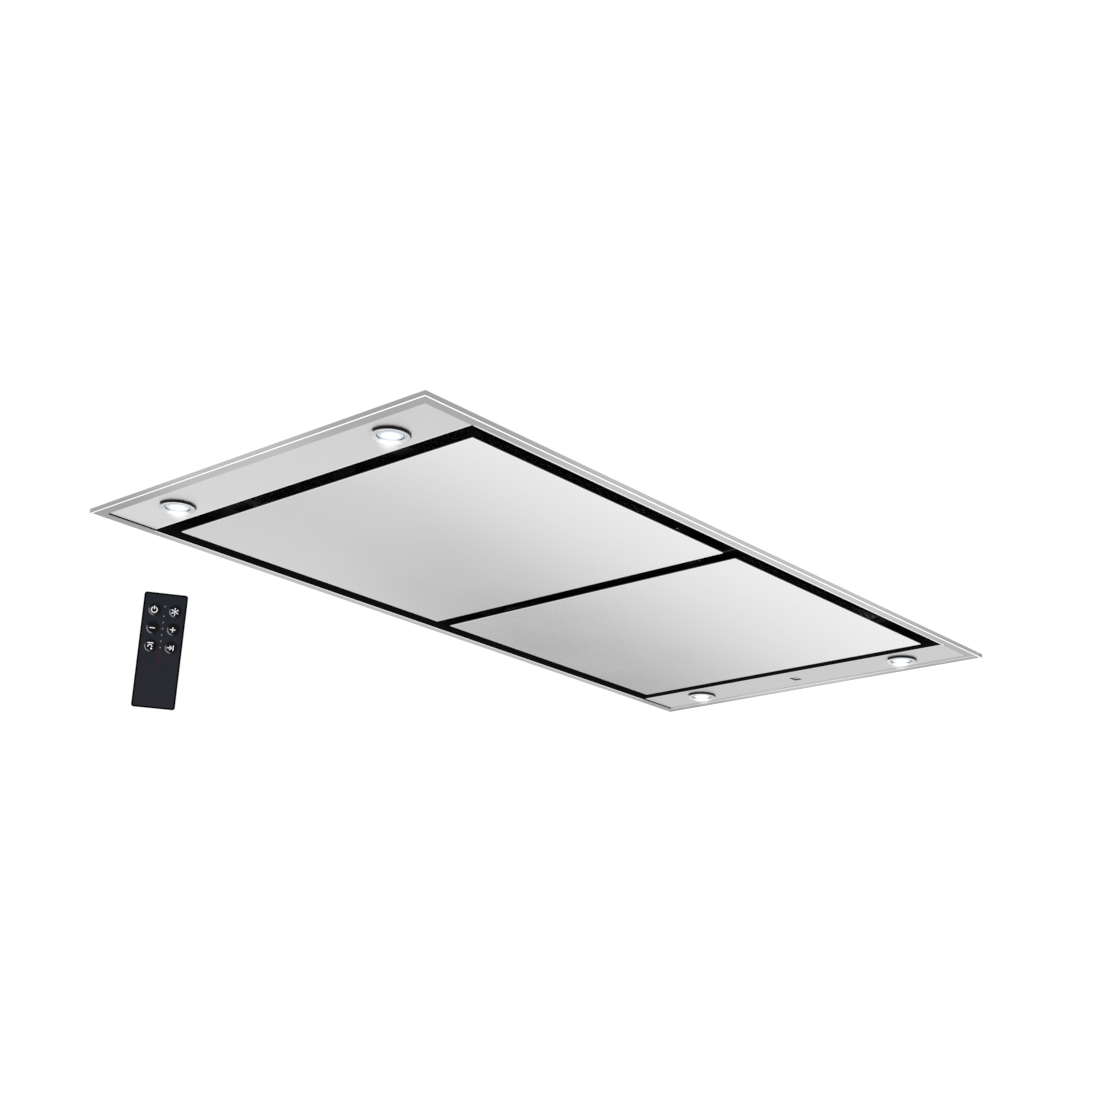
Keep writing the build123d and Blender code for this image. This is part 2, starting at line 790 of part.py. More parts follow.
def make_inlet_ring():
    """Inlet ring under the casing, with its finger guard."""
    z0, z1 = scroll_bottom - inlet_ring_sheet, scroll_bottom
    lip_out = inlet_radius - fit_gap
    lip_in = lip_out - inlet_ring_sheet
    ring = post(0, 0, z0, z1, inlet_ring_flange) - post(0, 0, z0, z1, lip_in)
    ring += post(0, 0, z0, z1 + inlet_ring_lip, lip_out) - post(0, 0, z0, z1 + inlet_ring_lip, lip_in)
    for index in range(guard_rings):
        radius = lip_in * (index + 1) / (guard_rings + 1)
        ring += post(0, 0, z0, z1, radius + guard_strand / 2) - post(0, 0, z0, z1, radius - guard_strand / 2)
    for index in range(guard_spokes):
        spoke = block(lip_in / (guard_rings + 1), lip_in + guard_strand / 2, -guard_strand / 2,
                      guard_strand / 2, z0, z1)
        ring += Rot(0, 0, 360 * index / guard_spokes) * spoke
    return Pos(blower_x, blower_y, 0) * ring


def blade_face():
    """Plan of one forward-curved blade: a thin band between two arcs."""
    root = Vector(impeller_eye, 0)
    tip_radius = impeller_radius - blade_sheet / 2
    tip = Vector(tip_radius * cos(radians(blade_lead)), tip_radius * sin(radians(blade_lead)))
    along = (tip - root).normalized()
    across = Vector(-along.Y, along.X)
    middle = (root + tip) * 0.5 - across * blade_bulge
    shift = across * blade_sheet
    edges = [
        ThreePointArc(root, middle, tip),
        Line(tip, tip + shift),
        ThreePointArc(tip + shift, middle + shift, root + shift),
        Line(root + shift, root),
    ]
    return make_face(edges)


def make_impeller():
    """Forward-curved wheel with its dished back plate and hub."""
    sheet = impeller_sheet
    bore = shaft_radius + running_gap / 2
    hub_bottom = hub_top - sheet
    wheel = turned([
        (bore, hub_bottom - hub_length), (hub_radius, hub_bottom - hub_length),
        (hub_radius, hub_bottom), (dish_radius, hub_bottom), (dish_radius, impeller_top - sheet),
        (impeller_radius, impeller_top - sheet), (impeller_radius, impeller_top),
        (dish_radius - sheet, impeller_top), (dish_radius - sheet, hub_top), (bore, hub_top),
    ])
    ring_inner = impeller_eye + sheet
    ring = post(0, 0, impeller_bottom, impeller_bottom + sheet, impeller_radius)
    ring -= post(0, 0, impeller_bottom, impeller_bottom + sheet, ring_inner)
    blade = extruded(blade_face(), impeller_bottom + sheet / 2, impeller_top - sheet / 2)
    blades = [Rot(0, 0, 360 * index / blade_count) * blade for index in range(blade_count)]
    return Pos(blower_x, blower_y, 0) * (wheel + [ring] + blades)


def make_motor():
    """Motor can, hung from the casing's top plate inside the wheel's dish."""
    top = scroll_top - scroll_sheet
    can = post(0, 0, motor_bottom, top, motor_radius)
    can = fillet(edges_at(can, motor_bottom), motor_edge_radius)
    can += post(0, 0, top - motor_flange_sheet, top, motor_flange_radius)
    shaft_end = motor_bottom + shaft_in_motor + sheet_gap
    can -= post(0, 0, motor_bottom - overshoot, shaft_end, shaft_radius + running_gap)
    return Pos(blower_x, blower_y, 0) * can


def make_motor_shaft():
    """Shaft from the motor through the hub."""
    bottom = hub_top - impeller_sheet - hub_length - shaft_below_hub
    return post(blower_x, blower_y, bottom, motor_bottom + shaft_in_motor, shaft_radius)


def make_buffers():
    """Rubber buffers between the casing and the body's top."""
    half_x, half_y = buffer_spread_x / 2, buffer_spread_y / 2
    return [
        post(blower_x + sx * half_x, blower_y + sy * half_y, scroll_top, body_ceiling, buffer_radius)
        for sx in (-1, 1)
        for sy in (-1, 1)
    ]


# ---------------------------------------------------------------- duct collar
def make_collar():
    """Round duct spigot with its square flange and the flaps' stop."""
    y0, y1 = body_half_y, body_half_y + collar_length
    collar = block(duct_x - collar_flange_x / 2, duct_x + collar_flange_x / 2, y0, y0 + collar_flange_sheet,
                   duct_z - collar_flange_z / 2, duct_z + collar_flange_z / 2)
    collar += rod_y(duct_x, y0, y1, duct_z, duct_radius)
    collar -= rod_y(duct_x, y0 - overshoot, y1 + overshoot, duct_z, duct_bore)
    stop_top = flap_y - flap_sheet / 2 - flap_stop_gap
    stop = rod_y(duct_x, stop_top - flap_stop_thickness, stop_top, duct_z, duct_bore + duct_wall / 2)
    collar += stop - rod_y(duct_x, y0, y1, duct_z, duct_bore - flap_stop_depth)
    for sx in (-1, 1):
        x = duct_x + sx * flap_hinge_offset
        collar -= Pos(0, flap_y, 0) * post(x, 0, duct_z - 2 * duct_radius, duct_z + 2 * duct_radius,
                                           flap_pin_radius + running_gap)
    for x, z in collar_screw_places():
        flange_face = y0 + collar_flange_sheet
        collar -= rod_y(x, y0 - overshoot, flange_face + overshoot, z, screw_radius + running_gap)
    return collar


def make_damper_flap(side):
    """Half-round non-return flap with its barrel."""
    x = duct_x + side * flap_hinge_offset
    y0, y1 = flap_y - flap_sheet / 2, flap_y + flap_sheet / 2
    flap = rod_y(duct_x, y0, y1, duct_z, duct_bore - flap_edge_gap)
    inner = x + side * (flap_pin_radius + seat_gap)
    outer = duct_x + side * 2 * duct_radius
    flap &= block(min(inner, outer), max(inner, outer), y0 - overshoot, y1 + overshoot,
                  duct_z - 2 * duct_radius, duct_z + 2 * duct_radius)
    half = flap_barrel_length / 2
    flap += Pos(0, flap_y, 0) * post(x, 0, duct_z - half, duct_z + half, flap_barrel_radius)
    bore = flap_pin_radius + running_gap
    flap -= Pos(0, flap_y, 0) * post(x, 0, duct_z - 2 * half, duct_z + 2 * half, bore)
    return flap


def make_damper_pin(side):
    """Upright pin of one flap, held in the collar's wall."""
    x = duct_x + side * flap_hinge_offset
    half = duct_bore + duct_wall / 2
    return Pos(0, flap_y, 0) * post(x, 0, duct_z - half, duct_z + half, flap_pin_radius)


# ---------------------------------------------------------------- electronics
def electronics_screw_places():
    """Screw centres of the electronics cover."""
    dx = electronics_length / 2 - electronics_lip / 2
    dy = electronics_width / 2 - electronics_lip / 2
    return [(electronics_x + sx * dx, electronics_y + sy * dy) for sx in (-1, 1) for sy in (-1, 1)]


def electronics_corners():
    """Outer limits of the electronics box in plan."""
    half_x, half_y = electronics_length / 2, electronics_width / 2
    return electronics_x - half_x, electronics_x + half_x, electronics_y - half_y, electronics_y + half_y


def make_electronics_box():
    """Steel box under the body's top, with an inward lip for its cover."""
    corners = electronics_corners()
    box = wall_ring(*corners, electronics_sheet, electronics_bottom, body_ceiling)
    box += wall_ring(*corners, electronics_lip, electronics_bottom, electronics_bottom + electronics_sheet)
    for x, y in electronics_screw_places():
        box -= post(x, y, electronics_bottom - overshoot, electronics_bottom + electronics_sheet + overshoot,
                    screw_radius + running_gap)
    return box


def make_electronics_cover():
    """Flat cover of the electronics box."""
    corners = electronics_corners()
    cover = block(*corners, electronics_bottom - electronics_sheet, electronics_bottom)
    for x, y in electronics_screw_places():
        cover -= post(x, y, electronics_bottom - 2 * electronics_sheet, electronics_bottom + overshoot,
                      screw_radius + running_gap)
    return cover


def make_control_board():
    """Circuit board on standoffs, with its transformer, relays and connectors."""
    x, y = electronics_x + electronics_lip, electronics_y
    top = body_ceiling - board_standoff
    bottom = top - board_sheet
    board = slab(x, y, board_length, board_width, bottom, top)
    dx, dy = board_length / 2 - standoff_margin, board_width / 2 - standoff_margin
    for sx in (-1, 1):
        for sy in (-1, 1):
            board += post(x + sx * dx, y + sy * dy, top, body_ceiling, standoff_radius)
    low_x, high_x = x - board_length / 2 + component_margin, x + board_length / 2 - component_margin
    low_y, high_y = y - board_width / 2 + component_margin, y + board_width / 2 - component_margin
    board += block(low_x, low_x + transformer_length, low_y, low_y + transformer_width,
                   bottom - transformer_height, bottom)
    board += post(low_x + smoothing_radius, high_y - smoothing_radius, bottom - smoothing_height, bottom,
                  smoothing_radius)
    for index in range(relay_count):
        x1 = high_x - relay_pitch * index
        board += block(x1 - relay_length, x1, high_y - relay_width, high_y, bottom - relay_height, bottom)
    for index in range(plug_count):
        x1 = high_x - plug_pitch * index
        board += block(x1 - plug_length, x1, low_y, low_y + plug_width, bottom - plug_height, bottom)
    return board


def make_terminal_block():
    """Screw terminals for the supply, on the box's wall."""
    x0 = electronics_x - electronics_length / 2 + electronics_sheet
    x1 = x0 + terminal_width
    z1 = body_ceiling - terminal_drop - board_standoff
    z0 = z1 - terminal_height
    y0 = electronics_y - terminal_y_offset - terminal_length / 2
    half = terminal_hole / 2
    terminal = block(x0, x1, y0, y0 + terminal_length, z0, z1)
    pitch = terminal_length / terminal_poles
    for index in range(terminal_poles):
        y = y0 + pitch * (index + 0.5)
        terminal -= post(x0 + terminal_screw_inset, y, z0 - overshoot, z0 + terminal_screw_depth, half)
        terminal -= block(x1 - terminal_wire_depth, x1 + overshoot, y - half, y + half,
                          (z0 + z1 - terminal_wire_height) / 2, (z0 + z1 + terminal_wire_height) / 2)
    return terminal


def make_led_driver():
    """Lamp driver with its ribbed case."""
    bottom = body_ceiling - driver_height
    driver = slab(electronics_x, driver_y, driver_length, driver_width, bottom, body_ceiling)
    pitch = driver_length / (driver_slots + 1)
    for index in range(driver_slots):
        x = electronics_x - driver_length / 2 + pitch * (index + 1)
        driver -= slab(x, driver_y, driver_slot_width, driver_slot_length, bottom - overshoot,
                       bottom + driver_slot_depth)
    return driver


def make_capacitor():
    """Motor run capacitor in its strap."""
    strap_radius = capacitor_radius + capacitor_strap_sheet
    z = body_ceiling - strap_radius
    half = capacitor_length / 2
    strap_half = capacitor_strap / 2
    can = rod_x(electronics_x - half, electronics_x + half, capacitor_y, z, capacitor_radius)
    can += rod_x(electronics_x - strap_half, electronics_x + strap_half, capacitor_y, z, strap_radius)
    return can + slab(electronics_x, capacitor_y, capacitor_strap, capacitor_foot_length,
                      body_ceiling - capacitor_strap_sheet, body_ceiling)


def make_gland():
    """Cable gland in the body's top, over the electronics box."""
    nut = Pos(gland_x, gland_y, 0) * RegularPolygon(gland_nut_radius, 6)
    lower = body_ceiling - gland_nut_height
    upper = body_height + gland_nut_height
    cap_top = upper + gland_cap_height
    gland = post(gland_x, gland_y, lower - gland_thread_end, upper, gland_thread_radius)
    gland += extruded(nut, lower, body_ceiling)
    gland += extruded(nut, body_height, upper)
    cap = post(gland_x, gland_y, upper, cap_top, gland_cap_radius)
    gland += fillet(edges_at(cap, cap_top), gland_cap_round)
    return gland - post(gland_x, gland_y, 0, cap_top + overshoot, cable_bore_radius)


def make_receiver():
    """Infrared receiver, seated on the end plate and seen through the window in it."""
    seat = fascia_top + sheet_gap
    return receiver_block(receiver_shoulder, seat, seat + receiver_height)


# ---------------------------------------------------------------- screws
def screw(x, y, z, down=False):
    """Upright pan-head screw: the head lies on the seat z and the shank goes on past it."""
    head = post(x, y, -screw_head_height, 0, screw_head_radius)
    head = fillet(edges_at(head, -screw_head_height), screw_head_round)
    body = head + post(x, y, 0, screw_reach, screw_radius)
    if down:
        body = body.mirror(Plane.XY)
    return Pos(0, 0, z) * body


def screw_in(x, y, z):
    """Screw driven towards -Y, with its head on the seat y."""
    return Pos(x, y, z) * Rot(90, 0, 0) * screw(0, 0, 0)


def make_screws():
    """Every visible fixing screw."""
    screws = []
    for side in (-1, 1):
        screws += [screw(x, y, partition_height - hinge_base_sheet) for x, y in hinge_screw_places(side)]
    screws += [screw(x, y, electronics_bottom - electronics_sheet) for x, y in electronics_screw_places()]
    screws += [screw(x, y, body_height + hanger_sheet, down=True) for x, y in hanger_screw_places()]
    screws += [screw_in(x, body_half_y + collar_flange_sheet, z) for x, z in collar_screw_places()]
    return screws


# ---------------------------------------------------------------- lamps
def make_bezel():
    """Turned lamp ring with its sleeve, on the axis."""
    lip = lens_radius + fit_gap
    sleeve_in = sleeve_radius - sleeve_wall
    return turned([
        (bezel_radius, fascia_bottom), (bezel_radius, lamp_face + 2 * bezel_chamfer),
        (bezel_radius - bezel_chamfer, lamp_face + bezel_chamfer / 2),
        (bezel_radius - 3 * bezel_chamfer, lamp_face),
        (lip + 2 * bezel_chamfer, lamp_face + bezel_chamfer), (lip, lamp_face + 2 * bezel_chamfer),
        (lip, lamp_ledge), (sleeve_in, lamp_ledge), (sleeve_in, lamp_sleeve_top),
        (sleeve_radius, lamp_sleeve_top), (sleeve_radius, fascia_bottom),
    ])


def make_lens():
    """Frosted lens, slightly crowned, with its flange over the ring's ledge."""
    rim = lamp_face + 2 * bezel_chamfer + lens_crown
    middle = rim - lens_crown * 3 / 4  # a shallow arc has three quarters of its crown there
    seat = lamp_ledge + fit_gap
    top = seat + lens_flange_thickness
    crown = ThreePointArc((0, 0, rim - lens_crown), (lens_radius / 2, 0, middle), (lens_radius, 0, rim))
    side = Polyline((lens_radius, 0, rim), (lens_radius, 0, seat), (lens_radius + lens_flange, 0, seat),
                    (lens_radius + lens_flange, 0, top), (0, 0, top), (0, 0, rim - lens_crown))
    return revolve(make_face(crown + side), Axis.Z, 360)


def make_led_board():
    """Round board with its light-emitting chips."""
    chip_top = led_board_top - led_board_sheet
    disc = post(0, 0, chip_top, led_board_top, led_board_radius)
    places = [(0.0, 0.0)]
    for index in range(led_count):
        angle = radians(360 * index / led_count)
        places.append((led_ring_radius * cos(angle), led_ring_radius * sin(angle)))
    for x, y in places:
        disc += slab(x, y, led_chip, led_chip, chip_top - led_chip_height, chip_top)
    return disc


def make_heat_sink():
    """Finned aluminium body that closes the lamp."""
    radius = sleeve_radius - sleeve_wall - fit_gap
    sink = post(0, 0, led_board_top, led_board_top + heat_sink_height, heat_sink_core)
    pitch = (heat_sink_height - heat_sink_fin) / (heat_sink_fins - 1)
    for index in range(heat_sink_fins):
        z = led_board_top + pitch * index
        sink += post(0, 0, z, z + heat_sink_fin, radius)
    return sink


def make_lamp_clip():
    """Bent spring strip from the sleeve down to the end plate, on the +Y side."""
    r0 = sleeve_radius + sheet_gap
    r1 = r0 + clip_sheet
    top = lamp_sleeve_top
    tip = fascia_top + sheet_gap
    points = [
        (r0, tip + clip_sheet), (r0, top), (r1, top),
        (r1 + clip_reach, tip + clip_sheet), (r1 + clip_reach, tip), (r0 + clip_reach, tip),
        (r1, top - 2 * clip_sheet), (r1, tip + clip_sheet),
    ]
    strip = side_profile(points, -clip_width / 2, clip_width / 2)
    return Rot(0, 0, 90) * strip


def at_lamps(piece):
    """The same lamp piece at each of the four places."""
    return [Pos(x, y, 0) * piece for x, y in lamp_places]


# ---------------------------------------------------------------- handset
# Local frame: u across, v up its length, w out of its face, with the face at w = 0.
look_x = cos(radians(view_elevation)) * cos(radians(view_azimuth))
look_y = cos(radians(view_elevation)) * sin(radians(view_azimuth))
look_z = sin(radians(view_elevation))
handset_plane = Plane(
    origin=(handset_x, handset_y, handset_z),
    x_dir=(sin(radians(view_azimuth)), -cos(radians(view_azimuth)), 0),
    z_dir=(-look_x, -look_y, -look_z),
)
handset_place = handset_plane.location * Rot(0, 0, handset_tilt)
half_u = handset_width / 2
half_v = handset_length / 2
board_face = handset_board_sheet - handset_board_depth
board_low = half_v - handset_board_top - handset_board_length
door_top = -half_v + door_length


def button_places():
    """Centres of the six buttons, row by row from the top left."""
    return [
        (su * button_columns / 2, button_top_row - row * button_pitch) for row in range(3) for su in (-1, 1)
    ]


def indicator_places():
    """Centres of the indicator lights: one at the top, and a row down the middle."""
    first = indicator_top - indicator_gap
    row = [(0.0, first - index * indicator_pitch) for index in range(indicator_count - 1)]
    return [(0.0, indicator_top), *row]


def case_block(inset, w0, w1):
    """Rounded plan of the handset, inset by a wall, between two depths."""
    radius = handset_corner - inset / 2
    plan = RectangleRounded(handset_width - 2 * inset, handset_length - 2 * inset, radius)
    return extruded(plan, w0, w1)


def make_front_case():
    """Front half of the handset, with holes for its buttons, lights and window."""
    case = case_block(0, -handset_split, 0)
    case = fillet(edges_at(case, 0), handset_edge)
    case -= case_block(handset_wall, -handset_split, -handset_skin)
    for u, v in button_places():
        case -= post(u, v, -handset_split, 1, button_radius + button_clearance)
    for u, v in indicator_places():
        case -= post(u, v, -handset_split, 1, indicator_radius + running_gap)
    case -= window_block(running_gap, half_v - handset_wall - overshoot, half_v + overshoot)
    return case


def window_block(grow, v0, v1):
    """Section of the infrared window, grown by a margin, between two places along v."""
    middle = -(handset_skin + handset_split) / 2
    half = window_height / 2 + grow
    return block(-window_width / 2 - grow, window_width / 2 + grow, v0, v1, middle - half, middle + half)


def make_window():
    """Dark infrared window in the top end, with its inner shoulder."""
    inner = half_v - handset_wall
    window = window_block(0, inner - sheet_gap, half_v)
    shoulder = window_block(window_shoulder, inner - sheet_gap - window_shoulder, inner - sheet_gap)
    return window + (shoulder & block(-half_u, half_u, 0, half_v, -handset_split, -handset_skin - sheet_gap))


def make_back_case():
    """Back half of the handset, with bosses for the board and the battery opening."""
    case = case_block(0, -handset_depth, -handset_split)
    case = fillet(edges_at(case, -handset_depth), handset_edge)
    case -= case_block(handset_wall, -handset_depth + handset_wall, -handset_split)
    for u, v in boss_places():
        case += post(u, v, -handset_depth + handset_wall, -handset_board_depth, handset_boss_radius)
    opening = door_width / 2 + fit_gap
    case -= block(-opening, opening, -half_v - overshoot, door_top + fit_gap, -handset_depth - overshoot,
                  -handset_depth + handset_wall)
    return case


def boss_places():
    """Centres of the four bosses under the handset's board."""
    u = handset_board_width / 2 - handset_boss_margin
    v_low = board_low + handset_boss_margin
    v_high = board_low + handset_board_length - handset_boss_margin
    return [(su * u, v) for su in (-1, 1) for v in (v_low, v_high)]


def make_handset_board():
    """Circuit board on the bosses, with its chip."""
    v_mid = board_low + handset_board_length / 2
    bottom = -handset_board_depth
    board = slab(0, v_mid, handset_board_width, handset_board_length, bottom, board_face)
    return board + slab(0, v_mid, chip_length, chip_width, bottom - chip_height, bottom)


def make_keymat():
    """Silicone key mat on the board, with a dome under each button."""
    v_mid = board_low + handset_board_length / 2
    top = board_face + keymat_sheet
    mat = slab(0, v_mid, handset_board_width, handset_board_length, board_face, top)
    dome_top = button_bottom() - button_travel - running_gap
    for u, v in button_places():
        mat += post(u, v, top, dome_top, dome_radius)
    for u, v in indicator_places():
        mat -= post(u, v, board_face - overshoot, dome_top + overshoot, indicator_radius + 4 * running_gap)
    return mat


def button_bottom():
    """Lowest face of a button at rest."""
    return -handset_skin - sheet_gap - button_skirt_height - 2 * running_gap


def make_button():
    """Domed button with the skirt that keeps it in the case, on the axis."""
    skirt_top = -handset_skin - sheet_gap
    cap = post(0, 0, button_bottom(), button_rise, button_radius)
    cap = fillet(edges_at(cap, button_rise), button_dome)
    return cap + post(0, 0, skirt_top - button_skirt_height, skirt_top, button_radius + button_skirt)


def make_indicators():
    """Light pipes from the board up to the face."""
    return [post(u, v, board_face + sheet_gap, 0, indicator_radius) for u, v in indicator_places()]


def make_batteries():
    """Two round cells, side by side, nub towards the top."""
    cells = []
    w = -handset_depth + handset_wall + battery_radius + fit_gap
    v0 = -half_v + battery_end_gap
    for su in (-1, 1):
        u = su * (battery_radius + fit_gap)
        cell = rod_y(u, v0, v0 + battery_length - overshoot, w, battery_radius)
        cells.append(cell + rod_y(u, v0, v0 + battery_length, w, battery_nub))
    return cells


def make_battery_door():
    """Sliding cover of the battery bay, in the back skin."""
    z0, z1 = -handset_depth, -handset_depth + handset_wall - fit_gap
    door = block(-door_width / 2, door_width / 2, -half_v, door_top, z0, z1)
    for index in range(door_rib_count):
        v = door_top - door_rib_inset - door_rib_pitch * index
        door -= slab(0, v, door_rib_length, door_rib_width, z0 - overshoot, z0 + door_rib_depth)
    return door


def in_handset(piece):
    """Local handset piece moved to the handset's place."""
    return handset_place * piece


# ---------------------------------------------------------------- writing the sub-parts
def write_shell():
    """Rim, end plates, lining, partition, body and its fixings."""
    holes = [lamp_hole(lamp_y), lamp_hole(-lamp_y)]
    save("rim_frame", make_rim())
    save("ceiling_seal", make_seal())
    save("left_end_fascia", mirrored(make_fascia(holes)))
    receiver_slot = receiver_block(0, fascia_bottom - overshoot, fascia_top + overshoot)
    save("right_end_fascia", make_fascia(holes + [receiver_slot]))
    save("suction_frame", make_lining())
    save("filter_partition", make_partition())
    save("body_box", make_body_top(), *make_body_walls())
    save("hanger_brackets", *[make_hanger(sx, sy) for sx in (-1, 1) for sy in (-1, 1)])
    save("fixing_screws", *make_screws())


def write_panels():
    """Two suction panels with their hinges and catches, and two filters."""
    pieces = {
        "panel_face": [make_panel_face()],
        "panel_tray": [make_panel_tray()],
        "hinge_pins": [make_hinge_pin(sy) for sy in (-1, 1)],
        "filter_frame": [make_filter_frame()],
        "filter_mesh": [make_filter_mesh()],
        "filter_latch": [make_filter_latch()],
    }
    for name, solids in pieces.items():
        save(f"right_{name}", *solids)
        save(f"left_{name}", *[mirrored(solid) for solid in solids])
    brackets = [make_hinge_bracket(sy) for sy in (-1, 1)]
    catches = [make_catch(sy) for sy in (-1, 1)]
    save("panel_hinge_brackets", *brackets, *[mirrored(bracket) for bracket in brackets])
    save("panel_magnets", *catches, *[mirrored(catch) for catch in catches])


def write_blower():
    """Casing, wheel, motor, duct collar and flaps."""
    save("blower_scroll", *make_scroll())
    save("scroll_inlet_ring", make_inlet_ring())
    save("impeller", make_impeller())
    save("motor", make_motor())
    save("motor_shaft", make_motor_shaft())
    save("blower_buffers", *make_buffers())
    save("outlet_collar", make_collar())
    save("left_damper_flap", make_damper_flap(-1))
    save("right_damper_flap", make_damper_flap(1))
    save("damper_pins", make_damper_pin(-1), make_damper_pin(1))


def write_electronics():
    """Electronics box and what it holds, gland and receiver."""
    save("electronics_box", make_electronics_box())
    save("electronics_cover", make_electronics_cover())
    save("control_board", make_control_board())
    save("terminal_block", make_terminal_block())
    save("led_driver", make_led_driver())
    save("motor_capacitor", make_capacitor())
    save("cable_gland", make_gland())
    save("ir_receiver", make_receiver())


def write_lamps():
    """Four lamps, one node for each kind of piece."""
    clip = make_lamp_clip()
    save("lamp_bezels", *at_lamps(make_bezel()))
    save("lamp_lenses", *at_lamps(make_lens()))
    save("lamp_led_boards", *at_lamps(make_led_board()))
    save("lamp_heat_sinks", *at_lamps(make_heat_sink()))
    save("lamp_spring_clips", *at_lamps(clip), *at_lamps(clip.mirror(Plane.XZ)))


def write_handset():
    """Remote handset that stands by itself, with its six buttons."""
    button = make_button()
    names = ["power", "light", "minus", "plus", "timer", "boost"]
    save("handset_front_case", in_handset(make_front_case()))
    save("handset_back_case", in_handset(make_back_case()))
    for name, (u, v) in zip(names, button_places()):
        save(f"handset_button_{name}", in_handset(Pos(u, v, 0) * button))
    save("handset_keymat", in_handset(make_keymat()))
    save("handset_circuit_board", in_handset(make_handset_board()))
    save("handset_indicator_lights", *[in_handset(light) for light in make_indicators()])
    save("handset_ir_window", in_handset(make_window()))
    save("handset_batteries", *[in_handset(cell) for cell in make_batteries()])
    save("handset_battery_door", in_handset(make_battery_door()))


os.makedirs("parts", exist_ok=True)
write_shell()
write_panels()
write_blower()
write_electronics()
write_lamps()
write_handset()
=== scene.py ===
import json
import math

import bmesh
import bpy
from mathutils import Matrix, Vector


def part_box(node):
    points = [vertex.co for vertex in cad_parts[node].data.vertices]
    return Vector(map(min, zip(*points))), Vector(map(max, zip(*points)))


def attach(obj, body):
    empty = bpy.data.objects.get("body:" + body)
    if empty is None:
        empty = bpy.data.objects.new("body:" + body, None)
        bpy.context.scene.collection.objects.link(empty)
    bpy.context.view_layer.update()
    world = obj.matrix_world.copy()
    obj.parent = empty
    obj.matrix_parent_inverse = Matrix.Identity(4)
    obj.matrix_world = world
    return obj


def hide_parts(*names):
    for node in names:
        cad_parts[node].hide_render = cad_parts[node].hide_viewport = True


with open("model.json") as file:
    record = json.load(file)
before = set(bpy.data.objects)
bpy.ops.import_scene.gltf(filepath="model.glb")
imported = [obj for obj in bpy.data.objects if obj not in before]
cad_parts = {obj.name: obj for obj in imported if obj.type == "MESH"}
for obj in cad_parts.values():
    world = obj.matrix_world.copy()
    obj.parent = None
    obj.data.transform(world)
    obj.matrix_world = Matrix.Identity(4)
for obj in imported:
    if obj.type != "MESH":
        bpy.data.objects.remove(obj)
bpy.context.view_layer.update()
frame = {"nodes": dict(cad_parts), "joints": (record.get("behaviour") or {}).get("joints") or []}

# Flush ceiling range hood, seen from below. Everything is in metres, in the part's own frame:
# the origin is the centre of the ceiling cut-out, on the ceiling's lower surface.
MM = 0.001
nodes = frame["nodes"]
joints = {joint["name"]: joint for joint in frame["joints"]}
sides = ["left", "right"]
buttons = ["power", "light", "minus", "plus", "timer", "boost"]     # row by row, from the top left

# ---------------------------------------------------------------- places taken from the frame
rim_low, rim_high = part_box("rim_frame")
rim_half_x, rim_half_y = rim_high.x, rim_high.y
fascia_low, fascia_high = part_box("right_end_fascia")
fascia_face = fascia_low.z
opening_x = fascia_low.x
panel_low, panel_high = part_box("right_panel_face")
panel_half_x = (panel_high.x - panel_low.x) / 2
panel_half_y = panel_high.y
panel_middle = (panel_high.x + panel_low.x) / 2
receiver_low, receiver_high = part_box("ir_receiver")
receiver_middle = (receiver_low + receiver_high) / 2

# One box holds all four lamps, so their radii are given here
bezel_radius = 23.6 * MM
lens_radius = 15.5 * MM
lens_flange_radius = 18.7 * MM
bezel_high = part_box("lamp_bezels")[1]
lamp_x = bezel_high.x - bezel_radius
lamp_y = bezel_high.y - bezel_radius
lamp_places = [(sx * lamp_x, sy * lamp_y) for sx in (-1, 1) for sy in (-1, 1)]
lens_low, lens_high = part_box("lamp_lenses")

# Handset: its axes are those of its buttons and its battery door; places on it are from its middle
HANDSET_CENTRE = Vector((-636.3, 67.2, -234.5)) * MM
HANDSET_HALF = (24.25 * MM, 65.0 * MM)
HANDSET_FRONT = 4.0 * MM        # depth of the face's marks, so that the back stays plain
BUTTON_COLUMN = 11.4 * MM
BUTTON_PITCH = 20.5 * MM
LOWEST_ROW = 4.4 * MM
BUTTON_ROWS = [LOWEST_ROW + BUTTON_PITCH * row for row in (2, 1, 0)]
BUTTON_RADIUS = 6.4 * MM
BUTTON_TOP = 1.3 * MM
handset_in = Vector(joints["button_power_press"]["axis"])
handset_up = -Vector(joints["battery_door_slide"]["axis"])
handset_out = -handset_in
handset_across = handset_up.cross(handset_out).normalized()


def on_handset(u, v, w):
    """Place on the handset: across its face, up it, and out from it."""
    return HANDSET_CENTRE + handset_across * u + handset_up * v + handset_out * w


def in_scene(name, data):
    """A new object in the scene, with that mesh, light or camera."""
    made = bpy.data.objects.new(name, data)
    bpy.context.scene.collection.objects.link(made)
    return made


# ---------------------------------------------------------------- camera at the photograph's angle
CAMERA_PLACE = Vector((-1.799687, -1.562872, -0.789672))
CAMERA_AZIMUTH = 41.933      # direction of view, from +X towards +Y
CAMERA_ELEVATION = 19.521
CAMERA_ROLL = 2.141
CAMERA_LENS = 58.90


